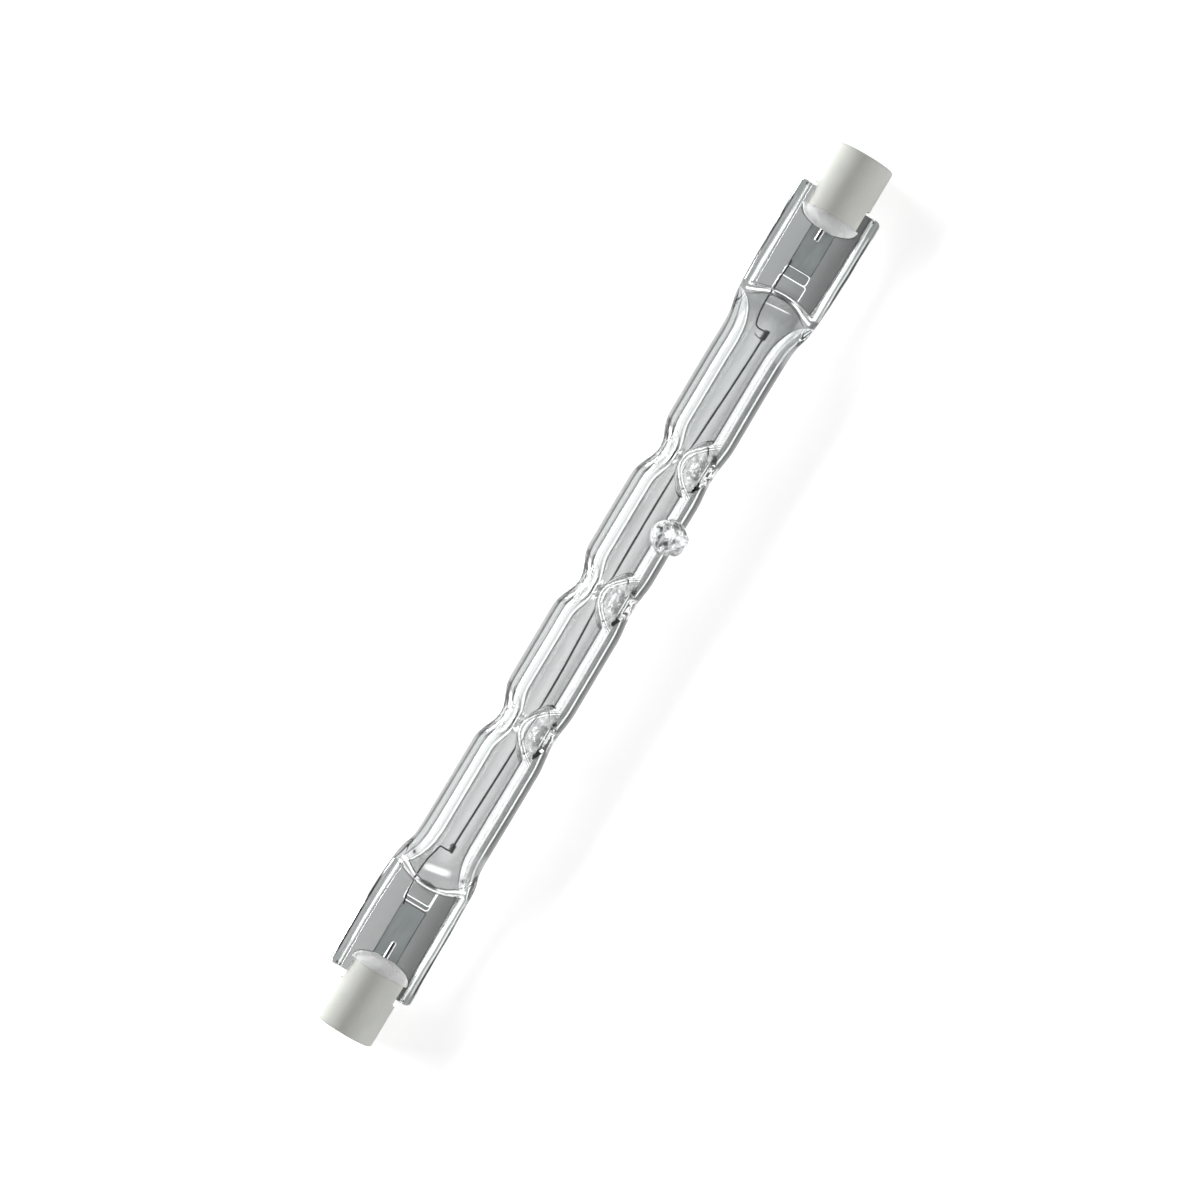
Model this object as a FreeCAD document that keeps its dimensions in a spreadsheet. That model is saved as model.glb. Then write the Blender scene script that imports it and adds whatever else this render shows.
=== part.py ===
import FreeCAD, Part
import math
import os
from FreeCAD import Vector, Placement, Rotation

doc = FreeCAD.newDocument("halogen_bulb")

# Sizes in millimetres and degrees. The lamp's own frame while it is built: X along the tube,
# Y across the flat seals, Z square to them. Every finished piece is then rolled about X by rest_roll.
SIZES = [
    ("tube_radius", 4.37), ("wall", 1.0), ("tube_half", 33.0),
    ("waist_depth", 0.62), ("waist_half", 3.6), ("waist_flat", 1.3), ("waist_thin", 0.1),
    ("station_pitch", 17.8), ("dent_share", 0.2654), ("dent_reach", 3.4), ("dent_tip", 0.3),
    ("dent_chamfer", 0.45), ("dent_flank", 38.0), ("dent_wall", 0.62), ("dent_first", 90.0),
    ("seal_half", 5.375), ("seal_flare", 0.275), ("seal_run", 6.0), ("rail_high", 1.8), ("rail_clear", 0.365),
    ("rail_round", 0.5), ("web_half", 0.9), ("seal_corner", 0.6),
    ("left_end_back", 6.3), ("right_end_back", 5.8), ("left_shift", 0.25),
    ("left_rail_run", 5.5), ("left_mid_run", 6.6), ("right_rail_run", 6.4), ("right_mid_run", 7.3),
    ("left_neck_run", 4.2), ("right_neck_run", 5.0), ("neck_long", 1.6),
    ("tip_x", 9.3), ("tip_angle", 50.0), ("tip_base", 2.15), ("tip_rise", 3.23),
    ("half_length", 58.8), ("cap_radius", 3.62), ("cap_long", 8.1), ("cap_edge", 0.4),
    ("recess_radius", 1.9), ("recess_depth", 1.7), ("mouth_edge", 0.2), ("slot_half", 1.35),
    ("slot_spare", 0.4), ("lead_hole", 0.42), ("button_radius", 1.6), ("button_thick", 0.6), ("button_dome", 0.18),
    ("cement_rise", 1.8), ("cement_lip", 0.12), ("cement_sink", 0.32),
    ("outer_lead_radius", 0.33), ("left_outer_share", 0.766), ("right_outer_share", 0.816),
    ("foil_half", 1.47), ("foil_thick", 0.06), ("foil_under", 0.1), ("weld_flat", 0.06),
    ("left_foil_share", 0.2447), ("right_foil_share", 0.3793), ("pocket_high", 0.14), ("pocket_gap", 0.35),
    ("inner_lead_radius", 0.19), ("bend_radius", 0.45), ("lead_weld", 1.2), ("lead_entry", 3.5),
    ("left_lead_p", 1.7), ("right_lead_p", 1.25), ("left_bend_run", 1.5), ("right_bend_run", 2.65),
    ("coil_radius", 0.17), ("sleeve_radius", 0.31), ("left_sleeve_long", 0.99), ("right_sleeve_long", 1.34),
]
# Places and widths that follow from the sizes above, worked out in the same table.
TIED = [
    ("dent_bottom", "tube_radius * dent_share"),
    ("seal_neck", "seal_half - seal_flare"),
    ("cement_radius", "cap_radius + cement_lip"), ("cement_fill", "cap_radius - cement_sink"),
    ("rail_wide", "seal_half - cement_radius - rail_clear"),
    ("left_end", "half_length - left_end_back"), ("right_end", "half_length - right_end_back"),
    ("cap_inner", "half_length - cap_long"), ("cement_apex", "cap_inner - cement_rise"),
    ("slot_end", "max(left_end; right_end) + slot_spare"),
    ("left_arc_rail", "tube_half + left_rail_run"), ("left_arc_mid", "tube_half + left_mid_run"),
    ("right_arc_rail", "tube_half + right_rail_run"), ("right_arc_mid", "tube_half + right_mid_run"),
    ("tip_start", "tube_radius - 0.75 * wall"), ("tip_reach", "tube_radius + tip_rise"),
    ("foil_out", "cement_apex + foil_under"),
    ("left_foil_in", "left_arc_mid + left_foil_share * (foil_out - left_arc_mid)"),
    ("right_foil_in", "right_arc_mid + right_foil_share * (foil_out - right_arc_mid)"),
    ("left_outer_in", "left_arc_mid + left_outer_share * (foil_out - left_arc_mid)"),
    ("right_outer_in", "right_arc_mid + right_outer_share * (foil_out - right_arc_mid)"),
    ("left_pocket_in", "left_arc_mid + pocket_gap"), ("right_pocket_in", "right_arc_mid + pocket_gap"),
    ("left_bend_x", "tube_half + left_bend_run"), ("right_bend_x", "tube_half + right_bend_run"),
    ("left_sleeve_out", "left_bend_x + inner_lead_radius"),
    ("right_sleeve_out", "right_bend_x + inner_lead_radius"),
    ("left_sleeve_in", "left_sleeve_out - left_sleeve_long"),
    ("right_sleeve_in", "right_sleeve_out - right_sleeve_long"),
]

sheet = doc.addObject("Spreadsheet::Sheet", "Sizes")
for row, (name, value) in enumerate(SIZES + TIED, 1):
    sheet.set("A%d" % row, name)
    sheet.set("B%d" % row, str(value) if not isinstance(value, str) else "=" + value)
    sheet.setAlias("B%d" % row, name)
doc.recompute()
S = {name: float(sheet.get(name)) for name, value in SIZES + TIED}

# The lamp lies on its tube and on the lower corner of one rail of the right seal.
reach, high, corner = S["seal_half"] - S["rail_round"], S["rail_high"] - S["rail_round"], S["rail_round"]
slant = math.asin((S["tube_radius"] - corner) / math.hypot(reach, high))
turn = math.degrees(slant - math.atan2(high, reach))
row = len(SIZES) + len(TIED) + 1
sheet.set("A%d" % row, "rest_roll")
sheet.set("B%d" % row, "%.4f" % turn)
sheet.setAlias("B%d" % row, "rest_roll")
doc.recompute()


def bind(obj, prop, text):
    obj.setExpression(prop, text)


def body(name):
    return doc.addObject("PartDesign::Body", name)


def draw(owner, name, steps, place=None):
    # steps: ("line", (u, v)) and ("arc", (mid u, mid v), (end u, end v)) from the first point round to it
    sketch = owner.newObject("Sketcher::SketchObject", name)
    if place is not None:
        sketch.Placement = place
    pen = start = Vector(steps[0][1][0], steps[0][1][1], 0)
    for step in steps[1:]:
        end = Vector(step[-1][0], step[-1][1], 0)
        if step[0] == "line":
            sketch.addGeometry(Part.LineSegment(pen, end), False)
        else:
            middle = Vector(step[1][0], step[1][1], 0)
            sketch.addGeometry(Part.Arc(pen, middle, end), False)
        pen = end
    if (pen - start).Length > 1e-7:
        sketch.addGeometry(Part.LineSegment(pen, start), False)
    return sketch


def revolve(name, steps, axis="H_Axis", place=None):
    owner = body(name)
    sketch = draw(owner, name + "_outline", steps, place)
    turned = owner.newObject("PartDesign::Revolution", name + "_turned")
    turned.Profile = sketch
    turned.ReferenceAxis = (sketch, [axis])
    turned.Angle = 360.0
    owner.Tip = turned
    return owner


def pad(name, steps, length, place=None, both=True):
    owner = body(name)
    sketch = draw(owner, name + "_outline", steps, place)
    raised = owner.newObject("PartDesign::Pad", name + "_raised")
    raised.Profile = sketch
    raised.Midplane = both
    bind(raised, "Length", length)
    owner.Tip = raised
    return owner


def fuse(name, parts):
    joined = doc.addObject("Part::MultiFuse", name)
    joined.Shapes = parts
    return joined


def cut(name, base, tool):
    gone = doc.addObject("Part::Cut", name)
    gone.Base = base
    gone.Tool = tool
    return gone


def rod(name, radius, start, length, direction):
    made = doc.addObject("Part::Cylinder", name)
    bind(made, "Radius", radius)
    made.Height = length
    made.Placement = Placement(start, Rotation(Vector(0, 0, 1), direction))
    return made


def block(name, low, high):
    made = doc.addObject("Part::Box", name)
    made.Length, made.Width, made.Height = high[0] - low[0], high[1] - low[1], high[2] - low[2]
    made.Placement.Base = Vector(*low)
    return made


def spline_end(name, side, table, around=8):
    # A closed solid through ellipses (x, half width across, half height), smooth both ways.
    lift = 6.0 / (4.0 + 2.0 * math.cos(2 * math.pi / around))
    poles = []
    for i in range(around):
        t = 2 * math.pi * i / around
        poles.append([Vector(side * x, lift * a * math.sin(t), lift * b * math.cos(t)) for x, a, b in table])
    count = len(table)
    skin = Part.BSplineSurface()
    along = [4] + [1] * (count - 4) + [4]
    skin.buildFromPolesMultsKnots(poles, [1] * (around + 1), along, list(range(around + 1)),
                                  list(range(len(along))), True, False, 3, 3)
    u0, u1, v0, v1 = skin.bounds()
    ends = [Part.Face(Part.Wire([skin.vIso(v).toShape()])) for v in (v0, v1)]
    shell = Part.Shell([skin.toShape()] + ends)
    solid = Part.Solid(shell)
    if solid.Volume < 0:
        solid.reverse()
    made = doc.addObject("Part::Feature", name)
    made.Shape = solid
    return made


R, W = S["tube_radius"], S["wall"]
stations = [-S["station_pitch"], 0.0, S["station_pitch"]]


def tube_outline(radius, half, depth):
    # Straight tube with a shallow waist, sloped both ways, at each pressing station.
    steps = [("start", (-half, 0)), ("line", (-half, radius))]
    for x in stations:
        for along, drop in ((-S["waist_half"], 0.0), (-S["waist_flat"], depth),
                            (S["waist_flat"], depth), (S["waist_half"], 0.0)):
            steps.append(("line", (x + along, radius - drop)))
    return steps + [("line", (half, radius)), ("line", (half, 0))]


def dent_outline(offset):
    # The pressing tool: a wheel with a blunt V rim, drawn as radius against half width.
    reach, slope = S["dent_reach"] + offset, math.radians(S["dent_flank"])
    flat, chamfer = S["dent_tip"], S["dent_chamfer"]
    side = flat + chamfer + offset * math.tan((math.pi / 2 - slope) / 2)
    drop, inner = chamfer * 0.55, 0.5
    wide = side + (reach - drop - inner) * math.tan(slope)
    steps = [("start", (-wide, 0)), ("line", (-wide, inner)), ("line", (-side, reach - drop))]
    if offset == 0:
        steps += [("line", (-flat, reach)), ("line", (flat, reach))]
    return steps + [("line", (side, reach - drop)), ("line", (wide, inner)), ("line", (wide, 0))]


def dents(name, offset):
    made = []
    far = S["dent_bottom"] + S["dent_reach"]
    for i, x in enumerate(stations):
        for k in range(3):
            angle = S["dent_first"] + 120.0 * k
            t = math.radians(angle)
            # sketch U runs round the tube, sketch V points out from the axis
            place = Placement(Vector(x, far * math.sin(t), far * math.cos(t)),
                              Rotation(Vector(0, math.cos(t), -math.sin(t)),
                                       Vector(0, math.sin(t), math.cos(t)), Vector(0, 0, 0), "XYZ"))
            made.append(revolve("%s_%d_%d" % (name, i + 1, k + 1), dent_outline(offset), "H_Axis", place))
    return fuse(name, made)


def seal_steps(side, end, shift, neck_x, shoulder_x):
    w, n, c = S["seal_half"], S["seal_neck"], S["seal_corner"]
    inside, run = 0.82 * R, S["seal_run"]
    bow = c * (1 - math.sqrt(0.5))
    def at(x, y):
        return (side * x, y + shift)
    return [("start", at(neck_x - 2.0, inside)), ("line", at(neck_x, n - 0.45)),
            ("line", at(shoulder_x, n)),
            ("line", at(end - run, w)), ("line", at(end - c, w)),
            ("arc", at(end - bow, w - bow), at(end, w - c)), ("line", at(end, -w + c)),
            ("arc", at(end - bow, -w + bow), at(end - c, -w)), ("line", at(end - run, -w)),
            ("line", at(shoulder_x, -n)), ("line", at(neck_x, -n + 0.45)),
            ("line", at(neck_x - 2.0, -inside))]


def seal(name, side, end, shift, neck_x, shoulder_x):
    slab = pad(name + "_slab", seal_steps(side, end, shift, neck_x, shoulder_x), "2 * Sizes.rail_high")
    doc.recompute()
    soft = doc.addObject("Part::Fillet", name + "_soft")
    soft.Base = slab
    edges = []
    for number, edge in enumerate(slab.Shape.Edges, 1):
        box = edge.BoundBox
        flat = box.ZLength < 1e-6 and abs(abs(box.Center.z) - S["rail_high"]) < 1e-6
        if flat and abs(box.Center.x) > shoulder_x:
            edges.append((number, corner, corner))
    soft.Edges = edges
    return soft


def web_tool(name, side, end, shift, rail_x, mid_x, sign):
    y = S["seal_half"] - S["rail_wide"]
    far = end + 3.0
    steps = [("start", (side * far, y + shift)), ("line", (side * rail_x, y + shift)),
             ("arc", (side * mid_x, shift), (side * rail_x, -y + shift)), ("line", (side * far, -y + shift))]
    z = S["web_half"] if sign > 0 else -S["web_half"] - S["rail_high"]
    return pad(name, steps, "Sizes.rail_high", Placement(Vector(0, 0, z), Rotation()), False)


# The shoulders as (distance from the tube's end, share of the way out to the seal's width, share of the
# way up from the rails to the tube's height), and their hollow as (distance, share of the bore, the same).
SHOULDER = [(0.0, 0.0, 1.0), (1.0, 0.0, 1.0), (3.2, 0.18, 0.94), (5.2, 0.8, 0.506), (6.6, 1.07, 0.078),
            (7.4, 1.1, -0.156)]
HOLLOW = [(0.0, 1.0, 1.0), (1.0, 1.0, 1.0), (3.0, 1.04, 0.89), (4.8, 1.084, 0.445), (5.7, 1.04, 0.237),
          (6.1, 0.994, 0.1335)]
squeeze = 0.93


def shoulder_table(run):
    slim, rail = R - 0.01, S["rail_high"]
    return [(S["tube_half"] + run * x, slim + a * (S["seal_neck"] - slim), rail + b * (slim - rail))
            for x, a, b in SHOULDER]


def hollow_table(run):
    bore = R - W - 0.01
    return [(S["tube_half"] + run * x, a * bore, b * bore) for x, a, b in HOLLOW]


# The quartz envelope: tube, shoulders, flat seals and the closed-off filling stub, then the hollow.
tube = revolve("tube_blank", tube_outline(R, S["tube_half"], S["waist_depth"]))
outer_dents = dents("dent_tool", 0.0)
dented = cut("tube_dented", tube, outer_dents)
doc.recompute()

left_shoulder = spline_end("left_shoulder", -1, shoulder_table(squeeze))
right_shoulder = spline_end("right_shoulder", 1, shoulder_table(1.0))
left_neck, right_neck = S["tube_half"] + S["left_neck_run"], S["tube_half"] + S["right_neck_run"]
left_seal = seal("left_seal", -1, S["left_end"], S["left_shift"], left_neck, left_neck + S["neck_long"])
right_seal = seal("right_seal", 1, S["right_end"], 0.0, right_neck, right_neck + S["neck_long"])

tilt = math.radians(S["tip_angle"])
out = Vector(0, -math.sin(tilt), math.cos(tilt))
tip_place = Placement(Vector(S["tip_x"], 0, 0), Rotation(Vector(1, 0, 0), out, Vector(0, 0, 0), "XYZ"))
b, h0, rise = S["tip_base"], S["tip_start"], S["tip_rise"]


def on_stub(wide, high):
    return (b * wide, R + rise * high)


stub = revolve("fill_stub", [("start", (0, h0)), ("line", (b, h0)),
                             ("arc", on_stub(0.805, 0.118), on_stub(0.628, 0.381)),
                             ("line", on_stub(0.535, 0.659)), ("line", on_stub(0.326, 0.814)),
                             ("line", on_stub(0.158, 0.861)), ("line", on_stub(0.112, 1.0)),
                             ("line", on_stub(0.0, 1.0))], "V_Axis", tip_place)

solid = fuse("envelope_outside", [dented, left_shoulder, right_shoulder, left_seal, right_seal, stub])

hollow_tube = revolve("bore_blank", tube_outline(R - W, S["tube_half"], S["waist_depth"] - S["waist_thin"]))
inner_dents = dents("dent_bulge", S["dent_wall"])
hollow_dented = cut("bore_dented", hollow_tube, inner_dents)
left_hollow = spline_end("left_hollow", -1, hollow_table(squeeze))
right_hollow = spline_end("right_hollow", 1, hollow_table(1.0))
hollow = fuse("envelope_hollow", [hollow_dented, left_hollow, right_hollow])

webs = []
for name, side, end, shift, rail_x, mid_x in (
        ("left", -1, S["left_end"], S["left_shift"], S["left_arc_rail"], S["left_arc_mid"]),
        ("right", 1, S["right_end"], 0.0, S["right_arc_rail"], S["right_arc_mid"])):
    webs.append(web_tool(name + "_web_top", side, end, shift, rail_x, mid_x, 1))
    webs.append(web_tool(name + "_web_under", side, end, shift, rail_x, mid_x, -1))


def side_name(side):
    return "left" if side < 0 else "right"


def sized(side, key):
    return S[side_name(side) + "_" + key]


def ring_outline(side, steps):
    # An outline drawn as distance from mid-length against radius, mirrored for the left end.
    return [tuple([step[0]] + [(side * x, r) for x, r in step[1:]]) for step in steps]


pieces = {}
gone_from_glass = [hollow] + webs
for side in (-1, 1):
    word = side_name(side)
    shift = S["left_shift"] if side < 0 else 0.0
    axis = Vector(side, 0, 0)
    foil_top = S["weld_flat"] - S["outer_lead_radius"]
    foil_low = foil_top - S["foil_thick"]
    foil_in, weld = sized(side, "foil_in"), S["lead_weld"]
    x0, x1 = sorted((side * foil_in, side * S["foil_out"]))
    y0, y1 = shift - S["foil_half"], shift + S["foil_half"]

    foil = block("foil_" + word, (x0, y0, foil_low), (x1, y1, foil_top))
    pieces["sealing_foil_" + word] = foil

    # Outer lead: from the contact button, along the lamp's axis, to its weld on the foil.
    button_back = S["half_length"] - S["recess_depth"] - S["button_thick"]
    start = sized(side, "outer_in")
    wire = rod("outer_wire_" + word, "Sizes.outer_lead_radius", Vector(side * start, shift, 0),
               button_back - start, axis)
    pieces["outer_lead_" + word] = cut("outer_lead_flat_" + word, wire, foil)

    # Inner lead: from its weld on the foil, in through the glass, then square in to the coil's sleeve.
    r, bend = S["inner_lead_radius"], S["bend_radius"]
    level = foil_top + r - S["weld_flat"] / 2
    p, bend_x = sized(side, "lead_p"), sized(side, "bend_x")
    along = rod("lead_along_" + word, "Sizes.inner_lead_radius", Vector(side * (bend_x + bend), p, level),
                foil_in + weld - bend_x - bend, axis)
    down = rod("lead_down_" + word, "Sizes.inner_lead_radius", Vector(side * bend_x, 0, level),
               p - bend, Vector(0, 1, 0))
    elbow = doc.addObject("Part::Torus", "lead_elbow_" + word)
    bind(elbow, "Radius1", "Sizes.bend_radius")
    bind(elbow, "Radius2", "Sizes.inner_lead_radius")
    elbow.Angle3 = 90
    elbow.Placement = Placement(Vector(side * (bend_x + bend), p - bend, level),
                                Rotation(Vector(0, 0, 1), 90 if side > 0 else 0))
    lead = fuse("lead_whole_" + word, [along, down, elbow])
    seat = rod("lead_seat_" + word, "Sizes.sleeve_radius",
               Vector(side * (sized(side, "sleeve_in") - 1), 0, 0),
               sized(side, "sleeve_out") - sized(side, "sleeve_in") + 2, axis)
    pieces["inner_lead_" + word] = cut("lead_" + word, lead, fuse("lead_room_" + word, [seat, foil]))

    a, b = sized(side, "sleeve_in"), sized(side, "sleeve_out")
    sleeve_out = rod("sleeve_skin_" + word, "Sizes.sleeve_radius", Vector(side * a, 0, 0), b - a, axis)
    sleeve_in = rod("sleeve_bore_" + word, "Sizes.coil_radius", Vector(side * (a - 1), 0, 0), b - a + 2, axis)
    pieces["filament_sleeve_" + word] = cut("sleeve_" + word, sleeve_out, sleeve_in)

    # What the seal's glass leaves free: foil, both leads and the flat gap beside the inner lead's weld.
    gap_in, entry = sized(side, "pocket_in"), S["tube_half"] + S["lead_entry"]
    g0, g1 = sorted((side * gap_in, side * (foil_in + 0.05)))
    gone_from_glass += [
        block("foil_seat_" + word, (x0, y0, foil_low), (x1, y1, foil_top)),
        rod("outer_seat_" + word, "Sizes.outer_lead_radius", Vector(side * start, shift, 0),
            sized(side, "end") + 1.0 - start, axis),
        rod("inner_seat_" + word, "Sizes.inner_lead_radius", Vector(side * entry, p, level),
            foil_in + weld - entry, axis),
        block("weld_gap_" + word, (g0, y0 - 0.05, foil_low), (g1, y1 + 0.05, foil_top + S["pocket_high"]))]

    # Ceramic cap: a cylinder with a rounded end, a round recess over the contact and a slot for the seal.
    L, cr, e, rr = S["half_length"], S["cap_radius"], S["cap_edge"], S["recess_radius"]
    floor, face = button_back, button_back + S["button_thick"]
    cap = revolve("cap_blank_" + word, ring_outline(side, [
        ("start", (S["cap_inner"], S["lead_hole"])), ("line", (S["cap_inner"], cr)), ("line", (L - e, cr)),
        ("line", (L, cr - e)), ("line", (L, rr + S["mouth_edge"])), ("line", (L - S["mouth_edge"], rr)),
        ("line", (face, rr)), ("line", (face, S["button_radius"])), ("line", (floor, S["button_radius"])),
        ("line", (floor, S["lead_hole"]))]))
    lo, hi = sorted((side * (S["cap_inner"] - 1.0), side * S["slot_end"]))
    broad = 1.4 * cr
    slot = block("cap_slot_" + word, (lo, -broad, -S["slot_half"]), (hi, broad, S["slot_half"]))
    pieces["ceramic_cap_" + word] = cut("cap_" + word, cap, slot)

    # Contact button: a disc with a sloped edge, seated in the recess's floor.
    br, dome = S["button_radius"], S["button_dome"]
    pieces["contact_button_" + word] = revolve("button_" + word, ring_outline(side, [
        ("start", (floor, 0)), ("line", (floor, br)), ("line", (face - dome, br)),
        ("line", (face, br - 2 * dome)), ("line", (face, 0))]))

    # Cement: a dome over the seal where it enters the cap, and the filling of the cap's slot.
    apex, cm, inner = S["cement_apex"], S["cement_radius"], S["cap_inner"]
    dome_blank = revolve("cement_dome_" + word, ring_outline(side, [
        ("start", (inner, 0)), ("line", (inner, cm)),
        ("line", (apex + (inner - apex) * 0.5, cm * 0.86)),
        ("line", (apex + (inner - apex) * 0.14, cm * 0.52)), ("line", (apex, cm * 0.24)), ("line", (apex, 0))]))
    fill_round = rod("cement_round_" + word, "Sizes.cement_fill", Vector(side * inner, 0, 0),
                     S["slot_end"] - inner, axis)
    lo, hi = sorted((side * inner, side * S["slot_end"]))
    fill_flat = block("cement_flat_" + word, (lo, -broad, -S["slot_half"]),
                      (hi, broad, S["slot_half"]))
    fill = doc.addObject("Part::MultiCommon", "cement_fill_" + word)
    fill.Shapes = [fill_round, fill_flat]
    cement = fuse("cement_whole_" + word, [dome_blank, fill])
    end = sized(side, "end")
    lo, hi = sorted((side * (apex - 2.0), side * end))
    web_room = block("cement_web_" + word, (lo, -broad - 1.0, -S["web_half"]),
                     (hi, broad + 1.0, S["web_half"]))
    lead_room = rod("cement_lead_" + word, "Sizes.outer_lead_radius",
                    Vector(side * start, shift, 0), S["half_length"] - start, axis)
    room = fuse("cement_room_" + word, [web_room, lead_room])
    pieces["cap_cement_" + word] = cut("cement_" + word, cement, room)

coil = rod("coil", "Sizes.coil_radius", Vector(-S["left_sleeve_out"], 0, 0),
           S["left_sleeve_out"] + S["right_sleeve_out"], Vector(1, 0, 0))
pieces["filament"] = coil
glass = solid
for number, tool in enumerate(gone_from_glass, 1):
    glass = cut("envelope_%d" % number, glass, tool)
pieces["glass_envelope"] = glass

doc.recompute()

bad = []
for obj in doc.Objects:
    if "Invalid" in obj.State or "Error" in obj.State:
        bad.append("%s is %s" % (obj.Name, obj.State))
    if hasattr(obj, "Shape") and obj.TypeId not in ("App::Origin",):
        if obj.TypeId.startswith(("Part::", "PartDesign::", "Sketcher::")) and obj.Shape.isNull():
            bad.append("%s is empty" % obj.Name)
for name, obj in pieces.items():
    if obj.Shape.isNull() or not obj.Shape.isValid() or len(obj.Shape.Solids) != 1:
        bad.append("%s isn't one valid solid" % name)
if bad:
    raise RuntimeError("\n".join(bad))

os.makedirs("parts", exist_ok=True)
for name, obj in sorted(pieces.items()):
    obj.Label = name
    obj.Placement = Placement(Vector(0, 0, 0), Rotation(Vector(1, 0, 0), turn)).multiply(obj.Placement)
doc.recompute()
for name, obj in sorted(pieces.items()):
    obj.Shape.exportStep("parts/%s.step" % name)
    print(name, round(obj.Shape.Volume, 3), len(obj.Shape.Faces))
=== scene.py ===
import math

import bpy
import numpy as np
from mathutils import Matrix, Vector


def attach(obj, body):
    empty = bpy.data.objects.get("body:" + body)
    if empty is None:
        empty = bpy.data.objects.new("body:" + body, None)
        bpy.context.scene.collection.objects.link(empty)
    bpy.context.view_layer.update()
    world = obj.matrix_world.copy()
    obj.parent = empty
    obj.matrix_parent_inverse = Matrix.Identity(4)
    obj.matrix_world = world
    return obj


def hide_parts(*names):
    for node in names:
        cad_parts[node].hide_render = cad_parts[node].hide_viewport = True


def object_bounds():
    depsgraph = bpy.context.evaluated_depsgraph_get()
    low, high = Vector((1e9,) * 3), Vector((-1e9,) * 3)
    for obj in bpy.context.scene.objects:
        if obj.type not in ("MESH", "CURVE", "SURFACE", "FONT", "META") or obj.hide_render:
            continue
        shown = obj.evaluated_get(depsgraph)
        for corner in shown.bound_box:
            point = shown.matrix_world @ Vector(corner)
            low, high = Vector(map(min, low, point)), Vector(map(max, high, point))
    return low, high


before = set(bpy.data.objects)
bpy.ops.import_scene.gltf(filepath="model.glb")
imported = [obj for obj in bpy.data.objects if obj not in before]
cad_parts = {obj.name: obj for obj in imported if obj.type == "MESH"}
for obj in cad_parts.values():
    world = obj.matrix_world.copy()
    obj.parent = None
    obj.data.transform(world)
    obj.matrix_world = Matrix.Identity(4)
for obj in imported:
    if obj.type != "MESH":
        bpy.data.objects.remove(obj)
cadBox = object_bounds()
print("frame loaded:", len(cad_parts), "nodes")

scene = bpy.context.scene

# All shapes are worked out in millimetres as (x, p, q): x along the tube, p across the flat seals, q square
# to them. place() turns them into the frame's own axes and metres.
# By side: where the seal ends, where its arc stands and how deep it is, and how the shoulder is stretched.
lamp = {
    "tubeRadius": 4.37, "wall": 1.0, "tubeHalf": 33.0, "halfLength": 58.8,
    "sealHalf": 5.375, "railInner": 4.105, "railHigh": 1.8, "railRound": 0.5, "end": {-1: 52.5, 1: 53.0},
    "arcMid": {-1: 39.6, 1: 40.3}, "arcSag": {-1: 1.1, 1: 0.9}, "run": {-1: 0.904, 1: 1.0},
}
sides = {-1: "left", 1: "right"}


def restRoll(size):
    # the roll at which the tube and one rail's lower corner touch the same floor
    reach, high = size["sealHalf"] - size["railRound"], size["railHigh"] - size["railRound"]
    slant = math.asin((size["tubeRadius"] - size["railRound"]) / math.hypot(reach, high))
    return slant - math.atan2(high, reach)


roll = restRoll(lamp)
axisX = np.array([1.0, 0.0, 0.0])
axisP = np.array([0.0, math.cos(roll), math.sin(roll)])
axisQ = np.array([0.0, -math.sin(roll), math.cos(roll)])
lampAxes = np.stack([axisX, axisP, axisQ])


def place(points):
    return np.asarray(points, dtype=float) @ lampAxes * 0.001


# how far the photographed lamp's own axis wanders across p along its length
swayAt = [-60, -53, -46, -40, -36, -30, -18, 0, 14, 20, 30, 37, 45, 53, 60]
swayBy = [0.0, 0.3, 0.42, 0.42, 0.28, 0.22, 0.22, 0.24, 0.25, 0.1, 0.1, 0.0, -0.1, -0.08, 0.0]


view = {"distance": 560.0, "halfFrame": 69.31, "lean": 59.1, "aside": (-0.578, -0.635)}


def addCamera(view):
    # looks square onto the seals; lean is the angle of the lamp's axis above the frame's horizontal
    lean = math.radians(view["lean"])
    right = math.cos(lean) * axisX - math.sin(lean) * axisP
    up = math.sin(lean) * axisX + math.cos(lean) * axisP
    spot = (view["distance"] * axisQ + view["aside"][0] * right + view["aside"][1] * up) * 0.001
    data = bpy.data.cameras.new("photoCamera")
    data.angle = 2 * math.atan(view["halfFrame"] / view["distance"])
    data.clip_start, data.clip_end = 0.01, 20.0
    camera = bpy.data.objects.new("photoCamera", data)
    turned = Matrix((right, up, axisQ)).transposed().to_4x4()
    camera.matrix_world = Matrix.Translation(Vector(spot)) @ turned
    scene.collection.objects.link(camera)
    scene.camera = camera


addCamera(view)
print("camera placed, lamp rolled by %.2f degrees" % math.degrees(roll))


def smooth(t):
    t = np.clip(t, 0.0, 1.0)
    return t * t * (3.0 - 2.0 * t)


def softMin(a, b, width):
    # the smaller of two, with the crease between them rounded over width
    near = np.maximum(width - np.abs(a - b), 0.0) / width
    return np.minimum(a, b) - near * near * width / 4.0


def curve(at, xs, ys):
    # a smooth line through the points of a table: cubic pieces whose slopes are the neighbours' chords
    xs, ys = np.asarray(xs, dtype=float), np.asarray(ys, dtype=float)
    slopes = np.gradient(ys, xs)
    at = np.clip(at, xs[0], xs[-1])
    i = np.clip(np.searchsorted(xs, at) - 1, 0, len(xs) - 2)
    h = xs[i + 1] - xs[i]
    t = (at - xs[i]) / h
    return ((1 + 2 * t) * (1 - t) ** 2 * ys[i] + t * (1 - t) ** 2 * h * slopes[i]
            + t * t * (3 - 2 * t) * ys[i + 1] + t * t * (t - 1) * h * slopes[i + 1])


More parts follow.
